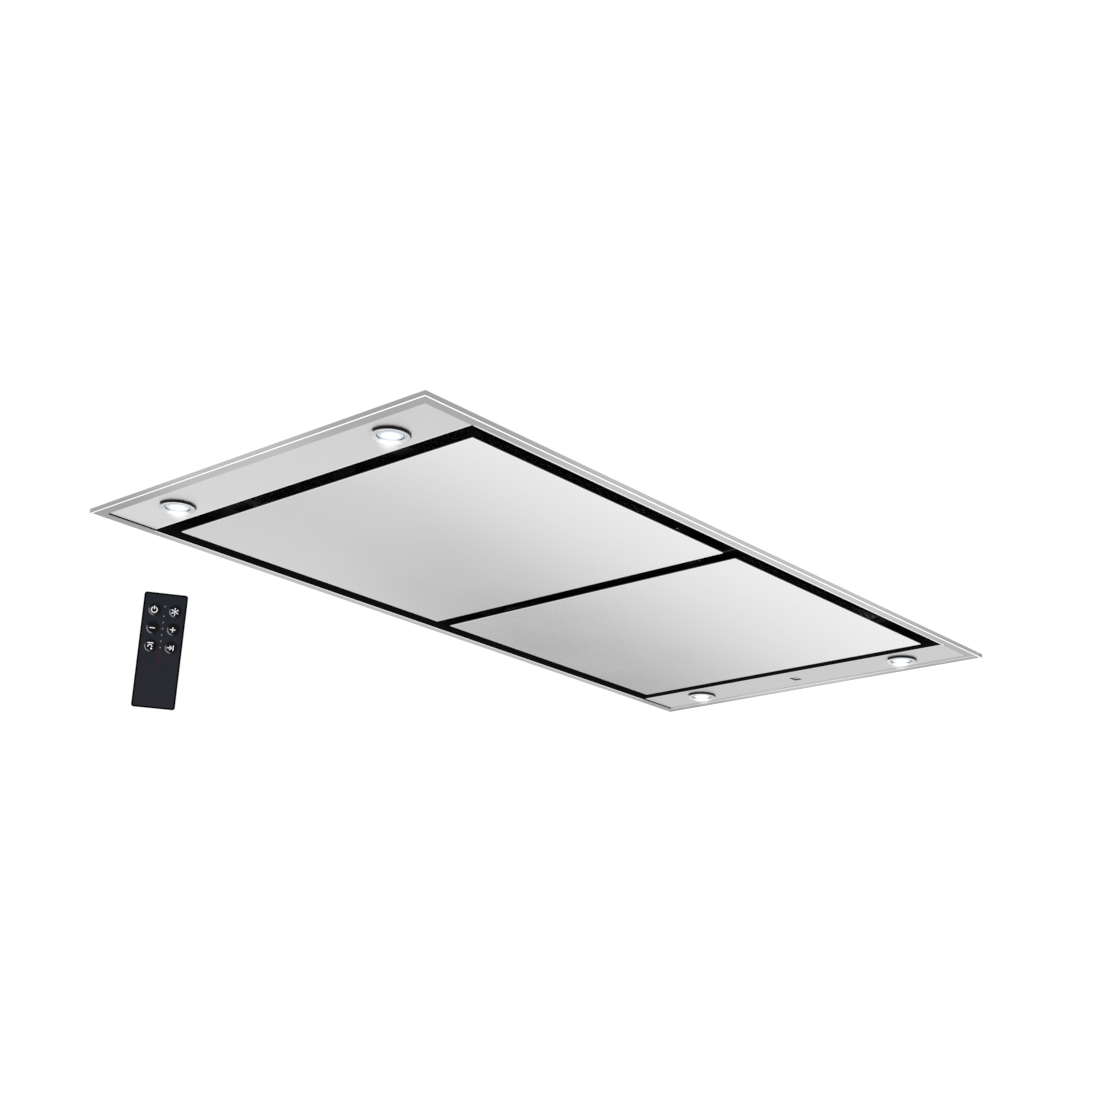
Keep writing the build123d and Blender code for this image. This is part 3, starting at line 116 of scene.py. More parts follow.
def make_camera():
    """Camera at the place and angle that the straight edges in the photograph give."""
    angles = (CAMERA_AZIMUTH, CAMERA_ELEVATION, CAMERA_ROLL)
    azimuth, elevation, roll = [math.radians(angle) for angle in angles]
    flat = math.cos(elevation)
    forward = Vector((math.cos(azimuth) * flat, math.sin(azimuth) * flat, math.sin(elevation)))
    level = forward.cross(Vector((0, 0, 1))).normalized()
    right = level * math.cos(roll) + level.cross(forward) * math.sin(roll)
    up = right.cross(forward)
    turn = Matrix((right, up, -forward)).transposed()
    camera = in_scene("camera", bpy.data.cameras.new("camera"))
    camera.data.lens = CAMERA_LENS
    camera.data.clip_start = 0.05
    camera.data.clip_end = 60.0
    camera.matrix_world = Matrix.Translation(CAMERA_PLACE) @ turn.to_4x4()
    bpy.context.scene.camera = camera


make_camera()


# ---------------------------------------------------------------- material helpers
class Shading:
    """A node tree, and short ways to add to it; values are numbers or other nodes' outputs."""

    def __init__(self, tree):
        self.tree = tree

    def put(self, value, socket):
        """Links an output to a socket, or gives it a plain value."""
        if isinstance(value, bpy.types.NodeSocket):
            self.tree.links.new(value, socket)
        else:
            socket.default_value = value

    def node(self, kind, inputs=None, **settings):
        """One more node, with its inputs and settings."""
        made = self.tree.nodes.new(kind)
        for key, value in settings.items():
            setattr(made, key, value)
        for key, value in (inputs or {}).items():
            self.put(value, made.inputs[key])
        return made

    def spread(self, value, low, high, start=0.0, stop=1.0, smooth=False):
        """A value carried from start..stop to low..high."""
        inputs = {"Value": value, "From Min": start, "From Max": stop,
                  "To Min": low, "To Max": high}
        steps = "SMOOTHSTEP" if smooth else "LINEAR"
        return self.node("ShaderNodeMapRange", inputs, interpolation_type=steps).outputs[0]

    def varied(self, noise, low, high):
        """Noise carried to low..high from the middle of its range, where most of it lies."""
        return self.spread(noise, low, high, 0.3, 0.7)

    def rest(self, share):
        """What a share leaves: 0 where it is 1, and 1 where it is 0."""
        return self.spread(share, 1.0, 0.0)

    def arithmetic(self, kind, a, b=0.0):
        """Arithmetic on one or two values."""
        return self.node("ShaderNodeMath", {0: a, 1: b}, operation=kind).outputs[0]

    def times(self, a, *others):
        """Product of two or more values."""
        for b in others:
            a = self.arithmetic("MULTIPLY", a, b)
        return a

    def plus(self, a, *others):
        """Sum of two or more values."""
        for b in others:
            a = self.arithmetic("ADD", a, b)
        return a

    def minus(self, a, b):
        """Difference of two values."""
        return self.arithmetic("SUBTRACT", a, b)

    def over(self, a, b):
        """Quotient of two values."""
        return self.arithmetic("DIVIDE", a, b)

    def above(self, a, b):
        """1 where the first value is the larger, otherwise 0."""
        return self.arithmetic("GREATER_THAN", a, b)

    def below(self, a, b):
        """1 where the first value is the smaller, otherwise 0."""
        return self.arithmetic("LESS_THAN", a, b)

    def most(self, a, *others):
        """Largest of two or more values."""
        for b in others:
            a = self.arithmetic("MAXIMUM", a, b)
        return a

    def least(self, a, b):
        """Smaller of two values."""
        return self.arithmetic("MINIMUM", a, b)

    def unsigned(self, a):
        """A value without its sign."""
        return self.arithmetic("ABSOLUTE", a)

    def sign(self, a):
        """The sign of a value: -1 or 1."""
        return self.arithmetic("SIGN", a)

    def length(self, a, b):
        """Distance from two offsets at right angles."""
        return self.arithmetic("SQRT", self.plus(self.times(a, a), self.times(b, b)))

    def along(self, place, axis):
        """How far a place lies along an axis."""
        made = self.node("ShaderNodeVectorMath", {0: place, 1: axis}, operation="DOT_PRODUCT")
        return made.outputs["Value"]

    def between(self, factor, a, b):
        """Value a where factor is 0, b where it is 1."""
        return self.node("ShaderNodeMix", {0: factor, 2: a, 3: b}).outputs[0]

    def blend(self, factor, a, b):
        """Colour a where factor is 0, b where it is 1."""
        made = self.node("ShaderNodeMix", {0: factor}, data_type="RGBA")
        for index, colour in ((6, a), (7, b)):
            if not isinstance(colour, bpy.types.NodeSocket):
                colour = (*colour, 1.0)
            self.put(colour, made.inputs[index])
        return made.outputs[2]

    def scaled(self, colour, factor):
        """A colour made lighter or darker all over by a factor."""
        inputs = {0: colour, "Scale": factor}
        return self.node("ShaderNodeVectorMath", inputs, operation="SCALE").outputs[0]

    def place(self, scale=(1.0, 1.0, 1.0)):
        """Object coordinates in metres, stretched along the axes."""
        coordinates = self.node("ShaderNodeTexCoord").outputs["Object"]
        return self.node("ShaderNodeMapping", {"Vector": coordinates, "Scale": scale}).outputs[0]

    def axes(self):
        """The three object coordinates, apart."""
        return self.node("ShaderNodeSeparateXYZ", {0: self.place()}).outputs

    def noise(self, scale, detail=4.0, stretch=(1.0, 1.0, 1.0), roughness=0.5):
        """Noise between 0 and 1, with that many features to the metre."""
        inputs = {"Vector": self.place(stretch), "Scale": scale, "Detail": detail,
                  "Roughness": roughness}
        return self.node("ShaderNodeTexNoise", inputs).outputs[0]

    def cells(self, scale, stretch=(1.0, 1.0, 1.0)):
        """Random colour of each crystal-like cell, and the distance in it."""
        inputs = {"Vector": self.place(stretch), "Scale": scale}
        return self.node("ShaderNodeTexVoronoi", inputs).outputs


class Finish(Shading):
    """A procedural material: one Principled shader and the nodes that feed it."""

    def __init__(self, name, colour, metallic, roughness, specular=0.5):
        self.material = bpy.data.materials.new(name)
        self.material.use_nodes = True
        super().__init__(self.material.node_tree)
        self.shader = self.tree.nodes["Principled BSDF"]
        self.feed("Base Color", (*colour, 1.0))
        self.feed("Metallic", metallic)
        self.feed("Roughness", roughness)
        self.feed("Specular IOR Level", specular)

    def feed(self, socket, value):
        """Gives the shader a value: plain, or one that changes over the surface."""
        self.put(value, self.shader.inputs[socket])

    def shine(self, colour, strength):
        """Light of its own."""
        self.feed("Emission Color", (*colour, 1.0))
        self.feed("Emission Strength", strength)

    def surface(self, output):
        """Another shader in the place of the Principled one."""
        self.put(output, self.tree.nodes["Material Output"].inputs["Surface"])

    def bump(self, height, distance, strength):
        """Surface relief, that many metres high."""
        inputs = {"Height": height, "Distance": distance, "Strength": strength}
        self.feed("Normal", self.node("ShaderNodeBump", inputs).outputs[0])

    def mottle(self, colour, amount, scale, detail=3.0, stretch=(1.0, 1.0, 1.0)):
        """Base colour that wanders a little round its mean."""
        low = tuple(channel * (1 - amount) for channel in colour)
        high = tuple(min(1.0, channel * (1 + amount)) for channel in colour)
        factor = self.varied(self.noise(scale, detail, stretch), 0.0, 1.0)
        mixed = self.blend(factor, low, high)
        self.feed("Base Color", mixed)
        return mixed


def colour_all(material, *names):
    """Gives a carried-over CAD node its material."""
    for name in names:
        slots = nodes[name].data.materials
        slots.clear()
        slots.append(material)


# ---------------------------------------------------------------- painted light of the lamps on the steel
PAINTED_LIGHT_LEAN = ((0.64, 0.768), (0.83, 0.557))      # how the painted lamp glow, the rings' painted shade and the lenses' bright spots lean, at the left and the right end
GLOW_MIDDLE = 23.0 * MM
GLOW_HALF_LENGTH = 36.0 * MM
GLOW_HALF_WIDTH = 16.0 * MM
GLOW_LEVEL = 0.40


def from_lamp(finish, ahead=0.0, beside=0.0):
    """Offsets along and across the way the nearest lamp's painted light leans, from a point ahead of
    and beside it.
    """
    parts = finish.axes()
    dx, dy = [finish.minus(part, finish.times(finish.sign(part), centre))
              for part, centre in zip(parts[:2], (lamp_x, lamp_y))]
    end = finish.sign(parts[0])
    lean_x, lean_y = [finish.spread(end, left, right, -1.0, 1.0) for left, right in zip(*PAINTED_LIGHT_LEAN)]
    along = finish.plus(finish.times(dx, lean_x), finish.times(dy, lean_y))
    across = finish.minus(finish.times(dy, lean_x), finish.times(dx, lean_y))
    return finish.minus(along, ahead), finish.minus(across, beside)


def painted_lamp_glow(finish):
    """Painted glow of a lamp on the steel beside its ring, laid ahead of it, falling to 0 round it.
    """
    along, across = from_lamp(finish, GLOW_MIDDLE)
    distance = finish.length(finish.over(along, GLOW_HALF_LENGTH),
                             finish.over(across, GLOW_HALF_WIDTH))
    return finish.times(finish.spread(distance, 1.0, 0.0, 0.05, 1.0, smooth=True), GLOW_LEVEL)


# ---------------------------------------------------------------- finishes of the visible steel
BLACK = (0.004, 0.004, 0.004)
SCRATCH_DEPTH = 0.0015 * MM


def brushed(name, colour, roughness, grain, along_x=True):
    """Brushed steel and its grained colour: fine scratches all one way, and a little cloudiness."""
    finish = Finish(name, colour, 1.0, roughness)
    stretch = (0.02, 1.0, 1.0) if along_x else (1.0, 0.02, 1.0)
    scratches = finish.noise(2600.0, 3.0, stretch, 0.65)
    clouds = finish.noise(7.0, 2.0)
    grained = finish.mottle(colour, grain, 900.0, 2.0, stretch)
    finish.feed("Roughness", finish.plus(finish.varied(scratches, -0.03, 0.03),
                                         finish.varied(clouds, roughness - 0.01, roughness + 0.01)))
    finish.bump(scratches, SCRATCH_DEPTH, 0.35)
    return finish, grained


def from_sides(finish, half_x, half_y):
    """Distances in from the sides of a rectangle round the origin, along each axis."""
    return [finish.minus(half, finish.unsigned(part))
            for half, part in zip((half_x, half_y), finish.axes()[:2])]


def near_line(finish, distance, place, width):
    """1 on a line at that distance, falling to 0 at its width."""
    off = finish.unsigned(finish.minus(distance, place))
    return finish.spread(off, 1.0, 0.0, width * 0.5, width, smooth=True)


# The rim: painted highlights on its folds, painted shade on its sides and in its corners, and
# painted light and shade on its far end
RIM_COLOUR = (0.60, 0.60, 0.605)
# Darker colour of the outer sides, as painted shade
RIM_SIDE_SHADED = (0.50, 0.50, 0.505)
RIM_BAND = 16.3 * MM
FOLD_WIDTH = 1.9 * MM
# Painted highlight on the folds: a pale colour and a glint of emitted light
FOLD_HIGHLIGHT = (0.93, 0.93, 0.94)
FOLD_GLINT = 0.42
INNER_FOLD = 0.6                            # as a share of the outer one
# Painted shade, darker towards the corners
CORNER_SHADE = (0.74, 1.04)
CORNER_START = 70.0 * MM
CORNER_REACH = (350.0 * MM, 150.0 * MM)     # at the near and the far long side
END_LIGHT_AND_SHADE = (0.30, -0.18)                    # painted light and shade on the far end's band, added from the end plate's edge to the fold's line
END_LINE = 7.0 * MM
# Painted glint on the far end's inner wall
END_GLINT = 0.20
NEAR_END_SHADE = 0.35                        # painted shade on the inner wall: its blackness at the ends; 1 along the sides


def rim_steel():
    """Folded rim: brushed, with painted shade on its sides and towards its corners, painted
    highlights along its fold lines, and black painted as shade on its inner wall up in the body.
    """
    finish, grained = brushed("rim_steel", RIM_COLOUR, 0.34, 0.03)
    x, y, z = finish.axes()
    inward = from_sides(finish, rim_half_x, rim_half_y)
    distance = finish.least(*inward)
    far_end = finish.above(x, fascia_high.x)

    # Painted shade towards the corners, and painted light and shade on the far end's band
    reach = finish.spread(y, *CORNER_REACH, -rim_half_y, rim_half_y)
    painted_shade = finish.spread(finish.length(*inward), *CORNER_SHADE, CORNER_START, reach, smooth=True)
    far_end_light_shade = finish.spread(x, *END_LIGHT_AND_SHADE, fascia_high.x, rim_half_x - END_LINE)
    painted_shade = finish.plus(painted_shade, finish.times(far_end, far_end_light_shade))

    # Painted highlights along the outer and the inner fold lines
    outer = near_line(finish, distance, FOLD_WIDTH * 0.6, FOLD_WIDTH)
    beside_slot = finish.below(finish.unsigned(x), opening_x)
    inner = finish.times(near_line(finish, distance, RIM_BAND - FOLD_WIDTH, FOLD_WIDTH * 0.7),
                         beside_slot)
    fold_highlight = finish.most(outer, finish.times(inner, INNER_FOLD))

    # The outer sides take the darker painted-shade colour; the inner wall above the band is painted
    # black as shade, less so at the near end and not at the far end
    side = finish.spread(distance, 1.0, 0.0, 0.35 * MM, 0.65 * MM)
    beyond_band = finish.spread(distance, 0.0, 1.0, RIM_BAND - 0.6 * MM, RIM_BAND - 0.4 * MM)
    above_band = finish.spread(z, 0.0, 1.0, rim_low.z + 0.1 * MM, rim_low.z + 0.2 * MM)
    riser = finish.times(beyond_band, above_band)
    inner_wall_blackness = finish.spread(finish.unsigned(x), 1.0, NEAR_END_SHADE, fascia_high.x,
                              fascia_high.x + 0.5 * MM)
    inner_wall_shade = finish.times(riser, inner_wall_blackness, finish.rest(far_end))

    colour = finish.blend(fold_highlight, finish.scaled(grained, painted_shade), FOLD_HIGHLIGHT)
    colour = finish.blend(side, colour, finish.scaled(RIM_SIDE_SHADED, painted_shade))
    finish.feed("Base Color", finish.blend(inner_wall_shade, colour, BLACK))
    # Painted glints on the fold lines and on the far end's inner wall, with the painted lamp glow
    glint = finish.times(fold_highlight, finish.spread(finish.most(side, inner_wall_shade), FOLD_GLINT, 0.0))
    end_glint = finish.times(riser, far_end, END_GLINT)
    finish.shine((0.97, 0.98, 1.0), finish.plus(glint, end_glint, painted_lamp_glow(finish)))
    return finish.material


# The end plates and the panels
EDGE_WIDTH = 1.3 * MM
# Painted glint along the cut edges of the end plates and the panels
EDGE_GLINT = 0.16
END_FOLD = 2.4 * MM
END_FOLD_SHADE = 0.78
WINDOW_SHADE_REACH = 12.0 * MM        # how far round the receiver the walls of its window are painted black as shade


def fascia_steel(name, near_painted_level, far_painted_level):
    """Satin end plate with painted light, its level changing from the near to the far side, with
    painted lamp glow and a painted glint at its cut edge; black painted as shade in its cut edge and
    in the receiver's window.
    """
    finish, grained = brushed(name, (1.0, 1.0, 1.0), 0.42, 0.008, along_x=False)
    x, y, z = finish.axes()
    # Painted light: the level changes from the near to the far side
    level = finish.spread(y, near_painted_level, far_painted_level, -rim_half_y, rim_half_y)
    grained = finish.scaled(grained, level)
    # Painted shade along the fold
    fold = near_line(finish, x, fascia_high.x - END_FOLD, END_FOLD)
    grained = finish.scaled(grained, finish.spread(fold, 1.0, END_FOLD_SHADE))
    # Painted shade: black on the cut edge's face and on the walls round the receiver's window
    inward = finish.minus(finish.unsigned(x), opening_x)
    cut = finish.times(finish.spread(inward, 1.0, 0.0, 0.3 * MM, 0.4 * MM),
                       finish.spread(z, 0.0, 1.0, fascia_face + 0.1 * MM, fascia_face + 0.2 * MM))
    above = finish.spread(z, 0.0, 1.0, fascia_face + 0.02 * MM, fascia_face + 0.06 * MM)
    from_window = finish.length(finish.minus(x, receiver_middle.x),
                                finish.minus(y, receiver_middle.y))
    window = finish.times(above, finish.below(from_window, WINDOW_SHADE_REACH))
    dark = finish.most(cut, window)
    finish.feed("Base Color", finish.blend(dark, grained, BLACK))
    # Painted glint along the cut edge, with the painted lamp glow
    glint = finish.times(near_line(finish, inward, EDGE_WIDTH, EDGE_WIDTH), EDGE_GLINT)
    lit = finish.times(finish.most(painted_lamp_glow(finish), glint), finish.rest(dark))
    finish.shine((0.96, 0.98, 1.0), lit)
    return finish.material


def panel_steel():
    """Fine satin panels that mirror the room softly, with a painted glint along their edges."""
    finish, _ = brushed("panel_steel", (0.93, 0.93, 0.935), 0.17, 0.004)
    x, y, _ = finish.axes()
    from_middle = finish.minus(finish.unsigned(x), panel_middle)
    inward = finish.least(finish.minus(panel_half_x, finish.unsigned(from_middle)),
                          finish.minus(panel_half_y, finish.unsigned(y)))
    # Painted glint along the panel edges
    edge = finish.spread(inward, 1.0, 0.0, 0.5 * MM, EDGE_WIDTH)
    finish.shine((0.98, 0.99, 1.0), finish.times(edge, EDGE_GLINT))
    return finish.material


# ---------------------------------------------------------------- finishes of the rest
def plain_finish(name, colour, metallic, roughness, wander, texture, swing, relief, specular=0.5):
    """A mottled colour, and one fine texture that makes both the roughness and the relief."""
    finish = Finish(name, colour, metallic, roughness, specular)
    finish.mottle(colour, *wander)
    noise = finish.noise(*texture)
    finish.feed("Roughness", finish.varied(noise, roughness + swing[0], roughness + swing[1]))
    finish.bump(noise, *relief)
    return finish.material


def painted(name, colour, roughness, peel=0.006 * MM, specular=0.5):
    """Sprayed or powder paint: faint orange peel and slight unevenness."""
    return plain_finish(name, colour, 0.0, roughness, wander=(0.08, 25.0), texture=(900.0, 2.0),
                        swing=(-0.05, 0.05), relief=(peel, 0.4), specular=specular)


def moulded(name, colour, roughness):
    """Moulded plastic with a fine spark-eroded grain."""
    return plain_finish(name, colour, 0.0, roughness, wander=(0.05, 40.0), texture=(2200.0, 2.0),
                        swing=(-0.04, 0.06), relief=(0.010 * MM, 0.5))


def silicone_rubber(name, colour, roughness):
    """Soft matt rubber with a dusty bloom."""
    return plain_finish(name, colour, 0.0, roughness, wander=(0.12, 90.0), texture=(140.0, 4.0),
                        swing=(-0.1, 0.15), relief=(0.030 * MM, 0.3))


def drawn_metal(name, colour, roughness, stretch=(1.0, 1.0, 0.05)):
    """Plain drawn or turned metal with fine lines along it."""
    texture = (1800.0, 3.0, stretch)
    return plain_finish(name, colour, 1.0, roughness, wander=(0.05, 60.0), texture=texture,
                        swing=(-0.06, 0.06), relief=(0.004 * MM, 0.4))


def galvanised(name, colour, cell_scale):
    """Zinc-coated steel with its spangle of flat crystals, feathered at their edges."""
    finish = Finish(name, colour, 1.0, 0.42)
    crystal = finish.cells(cell_scale, (1.0, 1.3, 0.9))["Color"]
    level = finish.node("ShaderNodeSeparateColor", {0: crystal}).outputs[0]
    dark, bright = [[min(1.0, channel * factor) for channel in colour] for factor in (0.87, 1.10)]
    streaks = finish.noise(260.0, 4.0)
    feathered = finish.plus(finish.times(level, 0.75), finish.times(streaks, 0.25))
    finish.feed("Base Color", finish.blend(feathered, dark, bright))
    finish.feed("Roughness", finish.plus(finish.spread(level, 0.34, 0.50),
                                         finish.varied(streaks, -0.05, 0.05)))
    finish.bump(streaks, 0.010 * MM, 0.4)
    return finish.material


def open_foam():
    """Soft sealing foam, dark and pitted."""
    finish = Finish("foam", (0.06, 0.06, 0.06), 0.0, 0.95)
    pores = finish.cells(900.0)["Distance"]
    finish.feed("Base Color", finish.blend(pores, (0.025, 0.025, 0.025), (0.10, 0.10, 0.10)))
    finish.bump(pores, 0.3 * MM, 0.8)
    return finish.material


def circuit_laminate():
    """Green solder mask over faint copper tracks."""
    finish = Finish("circuit_board", (0.03, 0.22, 0.10), 0.0, 0.35)
    flat = finish.place((1.0, 1.0, 0.0))
    tracks = finish.node("ShaderNodeTexBrick", {"Vector": flat, "Scale": 160.0})
    mask = finish.spread(tracks.outputs["Fac"], 0.0, 1.0)
    dark = finish.blend(finish.noise(300.0, 3.0), (0.010, 0.105, 0.045), (0.022, 0.16, 0.07))
    finish.feed("Base Color", finish.blend(mask, dark, (0.06, 0.30, 0.13)))
    finish.bump(mask, 0.030 * MM, 0.5)
    return finish.material


def lamp_chrome():
    """Satin chrome of the lamp rings, with a painted highlight ahead and painted shade, black, on
    the wall behind and beside the step.
    """
    finish = Finish("lamp_ring", (0.80, 0.80, 0.81), 1.0, 0.22, 0.15)
    offsets = from_lamp(finish)
    radius = finish.length(*offsets)
    ahead, beside = [finish.over(offset, radius) for offset in offsets]
    # Painted shade: black on the ring's wall behind the lamp and on the step's flanks
    behind = finish.minus(finish.times(ahead, -1.0), finish.times(beside, 0.25))
    wall = finish.spread(radius, 0.0, 1.0, bezel_radius - 1.6 * MM, bezel_radius - 1.2 * MM,
                         smooth=True)
    shade = finish.spread(behind, 0.0, 1.0, 0.12, 0.30, smooth=True)
    throat = finish.spread(radius, 1.0, 0.0, lens_radius + 0.4 * MM, lens_radius + 0.9 * MM,
                           smooth=True)
    flank = finish.spread(finish.unsigned(beside), 0.0, 0.85, 0.55, 0.85, smooth=True)
    dark = finish.most(finish.times(wall, shade), finish.times(throat, flank))
    turned = finish.noise(500.0, 2.0)
    satin = finish.blend(turned, (0.70, 0.70, 0.71), (0.82, 0.82, 0.83))
    finish.feed("Base Color", finish.blend(dark, satin, BLACK))
    finish.feed("Metallic", finish.rest(dark))
    finish.feed("Roughness", finish.varied(turned, 0.24, 0.34))
    # Painted highlight on the ring ahead of the lamp
    lit = finish.spread(ahead, 0.0, 0.42, 0.6, 1.0, smooth=True)
    finish.shine((0.97, 0.99, 1.0), finish.times(lit, finish.rest(dark)))
    return finish.material


LENS_STEP = 2.6 * MM
CORE_SHIFT = (2.0 * MM, -0.5 * MM)      # the brightest spot, ahead of and beside the middle
CORE_REACH = (6.0 * MM, 15.5 * MM)


def lamp_glass():
    """Stepped lens, lit from behind: brightest ahead of the middle, a grey arc at each step."""
    finish = Finish("lamp_lens", (0.05, 0.055, 0.06), 0.0, 0.3, 0.2)
    radius = finish.length(*from_lamp(finish))
    ripple = finish.arithmetic("SINE", finish.times(radius, 2 * math.pi / LENS_STEP))
    from_core = finish.length(*from_lamp(finish, *CORE_SHIFT))
    core = finish.spread(from_core, 1.0, 0.0, *CORE_REACH, smooth=True)
    level = finish.spread(core, 0.60, 1.15)
    rings = finish.times(finish.spread(ripple, -0.24, 0.12, -1.0, 1.0),
                         finish.spread(core, 1.0, 0.1))
    finish.feed("Emission Strength", finish.most(0.05, finish.plus(level, rings)))
    finish.feed("Emission Color", finish.blend(core, (0.84, 0.91, 1.0), (0.97, 0.99, 1.0)))
    finish.feed("Roughness", finish.varied(finish.noise(700.0), 0.2, 0.35))
    return finish.material


def dark_window():
    """Dark red window of the handset: glossy plastic with the faintest unevenness."""
    colour = (0.020, 0.006, 0.008)
    finish = Finish("receiver_window", colour, 0.0, 0.12)
    finish.mottle(colour, 0.10, 18.0)
    finish.feed("Roughness", finish.varied(finish.noise(60.0, 5.0), 0.09, 0.17))
    finish.feed("Coat Weight", 0.3)
    finish.bump(finish.noise(35.0, 2.0), 0.020 * MM, 0.2)
    return finish.material


# The handset's colours and marks
HANDSET_FACE = (0.0085, 0.0100, 0.0195)
HANDSET_FOOT = (0.0125, 0.0135, 0.0200)
HANDSET_HAZE = (0.004, 0.004, 0.006)
# Black of the rim, painted in as shade
HANDSET_RIM_SHADE = (0.0006, 0.0006, 0.0008)
# A faint red patch on the face below the lights
WINDOW_RED = (0.036, 0.009, 0.012)
WINDOW_DROP = 6.0 * MM                  # its middle, below the handset's
# Painted shadow round each button: its black, its offset from the button's middle, and its soft edge
BUTTON_SHADOW_BLACK = (0.0012, 0.0012, 0.0018)
BUTTON_SHADOW_SHIFT = (1.0 * MM, 0.8 * MM)
BUTTON_SHADOW_EDGE = 1.6 * MM
BUTTON_BLACK = (0.0015, 0.0015, 0.0022)
# Painted highlight on each button's lower-left edge
CRESCENT_HIGHLIGHT = (0.26, 0.27, 0.31)


def handset_places(finish):
    """Across, up and out from the handset's middle; across and up from the nearest button's."""
    spot = finish.node("ShaderNodeVectorMath", {0: finish.place(), 1: HANDSET_CENTRE},
                       operation="SUBTRACT").outputs[0]
    across, up, out = [finish.along(spot, axis)
                       for axis in (handset_across, handset_up, handset_out)]
    from_column = finish.minus(across, finish.times(finish.sign(across), BUTTON_COLUMN))
    turn = finish.plus(finish.minus(up, LOWEST_ROW), BUTTON_PITCH / 2)
    from_row = finish.minus(finish.arithmetic("MODULO", turn, BUTTON_PITCH), BUTTON_PITCH / 2)
    return across, up, out, from_column, from_row


def handset_shell():
    """Gloss black case: a black rim painted in as shade, a painted shadow round each button, a faint
    red patch below the lights.
    """
    finish = Finish("handset_gloss", HANDSET_FACE, 0.0, 0.16, 0.22)
    across, up, out, from_column, from_row = handset_places(finish)
    front = finish.above(out, -HANDSET_FRONT)
    tone = finish.blend(finish.spread(up, 0.0, 1.0, -0.05, 0.06), HANDSET_FOOT, HANDSET_FACE)
    haze = finish.noise(60.0, 5.0)
    tone = finish.blend(finish.spread(haze, 0.0, 0.25, 0.35, 0.65), tone, HANDSET_HAZE)

    width = finish.spread(finish.unsigned(across), 1.0, 0.0, 0.6 * MM, 2.4 * MM, smooth=True)
    from_window = finish.unsigned(finish.plus(up, WINDOW_DROP))
    height = finish.spread(from_window, 1.0, 0.0, 4 * MM, 13 * MM, smooth=True)
    window = finish.times(finish.times(width, height), finish.times(front, 0.75))
    tone = finish.blend(window, tone, WINDOW_RED)

    # Painted shadow of each button, offset from its middle
    from_button_shadow = finish.length(finish.minus(from_column, BUTTON_SHADOW_SHIFT[0]),
                              finish.minus(from_row, BUTTON_SHADOW_SHIFT[1]))
    button_shadow = finish.spread(from_button_shadow, 1.0, 0.0, BUTTON_RADIUS, BUTTON_RADIUS + BUTTON_SHADOW_EDGE, smooth=True)
    in_rows = finish.times(finish.above(up, BUTTON_ROWS[2] - BUTTON_PITCH / 2),
                           finish.below(up, BUTTON_ROWS[0] + BUTTON_PITCH / 2))
    tone = finish.blend(finish.times(finish.times(button_shadow, front), in_rows), tone, BUTTON_SHADOW_BLACK)

    edge = finish.least(finish.minus(HANDSET_HALF[0], finish.unsigned(across)),
                        finish.minus(HANDSET_HALF[1], finish.unsigned(up)))
    # Black rim painted in as shade: black and metallic, so that it reflects nothing
    rim = finish.spread(edge, 1.0, 0.0, 1.5 * MM, 2.4 * MM, smooth=True)
    finish.feed("Base Color", finish.blend(rim, tone, HANDSET_RIM_SHADE))
    finish.feed("Metallic", rim)
    finish.feed("Roughness", finish.most(finish.varied(haze, 0.13, 0.21), finish.times(rim, 0.5)))
    finish.bump(finish.noise(35.0, 2.0), 0.020 * MM, 0.2)
    return finish.material


def handset_button():
    """Domed black buttons with a painted highlight on their lower-left edge."""
    finish = Finish("handset_button", BUTTON_BLACK, 0.0, 0.18, 0.15)
    from_column, from_row = handset_places(finish)[3:]
    # Painted highlight on the lower-left edge of each button
    toward = finish.plus(finish.times(from_column, -0.80), finish.times(from_row, -0.60))
    side = finish.spread(toward, 0.0, 1.0, 1.8 * MM, 5.2 * MM, smooth=True)
    radius = finish.length(from_column, from_row)
    edge = finish.spread(radius, 0.0, 1.0, 4.5 * MM, 5.6 * MM, smooth=True)
    wear_and_highlight = finish.noise(500.0, 3.0)
    painted_crescent = finish.times(side, edge, finish.varied(wear_and_highlight, 0.7, 1.0))
    finish.feed("Base Color", finish.blend(painted_crescent, BUTTON_BLACK, CRESCENT_HIGHLIGHT))
    finish.feed("Roughness", finish.varied(wear_and_highlight, 0.15, 0.24))
    finish.bump(wear_and_highlight, 0.004 * MM, 0.3)
    return finish.material


GASKET_WIDTH = 3.6 * MM


def receiver_face():
    """Grey receiver block with a black gasket round its edge."""
    finish = Finish("receiver", (0.5, 0.5, 0.5), 0.0, 0.5)
    half = (receiver_high - receiver_low) / 2
    inset = [finish.minus(half[axis], finish.unsigned(finish.minus(part, receiver_middle[axis])))
             for axis, part in enumerate(finish.axes()[:2])]
    gasket = finish.spread(finish.least(*inset), 1.0, 0.0, GASKET_WIDTH, GASKET_WIDTH + 0.3 * MM)
    grain = finish.noise(900.0, 3.0)
    face = finish.blend(grain, (0.40, 0.40, 0.41), (0.46, 0.46, 0.47))
    finish.feed("Base Color", finish.blend(gasket, face, BLACK))
    finish.feed("Roughness", finish.varied(grain, 0.45, 0.60))
    finish.bump(grain, 0.005 * MM, 0.4)
    return finish.material


# ---------------------------------------------------------------- every node and its finish
def both(name):
    """The left and the right node of a pair."""
    return [f"{side}_{name}" for side in sides]


black_plastic = moulded("black_plastic", (0.022, 0.022, 0.024), 0.5)
# The filter mesh's own alloy colour, darkened as painted shade for where it shows up the slots
shaded_mesh_alloy = drawn_metal("filter_mesh", (0.40, 0.41, 0.42), 0.45, (1.0, 1.0, 1.0))
lamp_lens = lamp_glass()

# Seen from the room
colour_all(rim_steel(), "rim_frame")
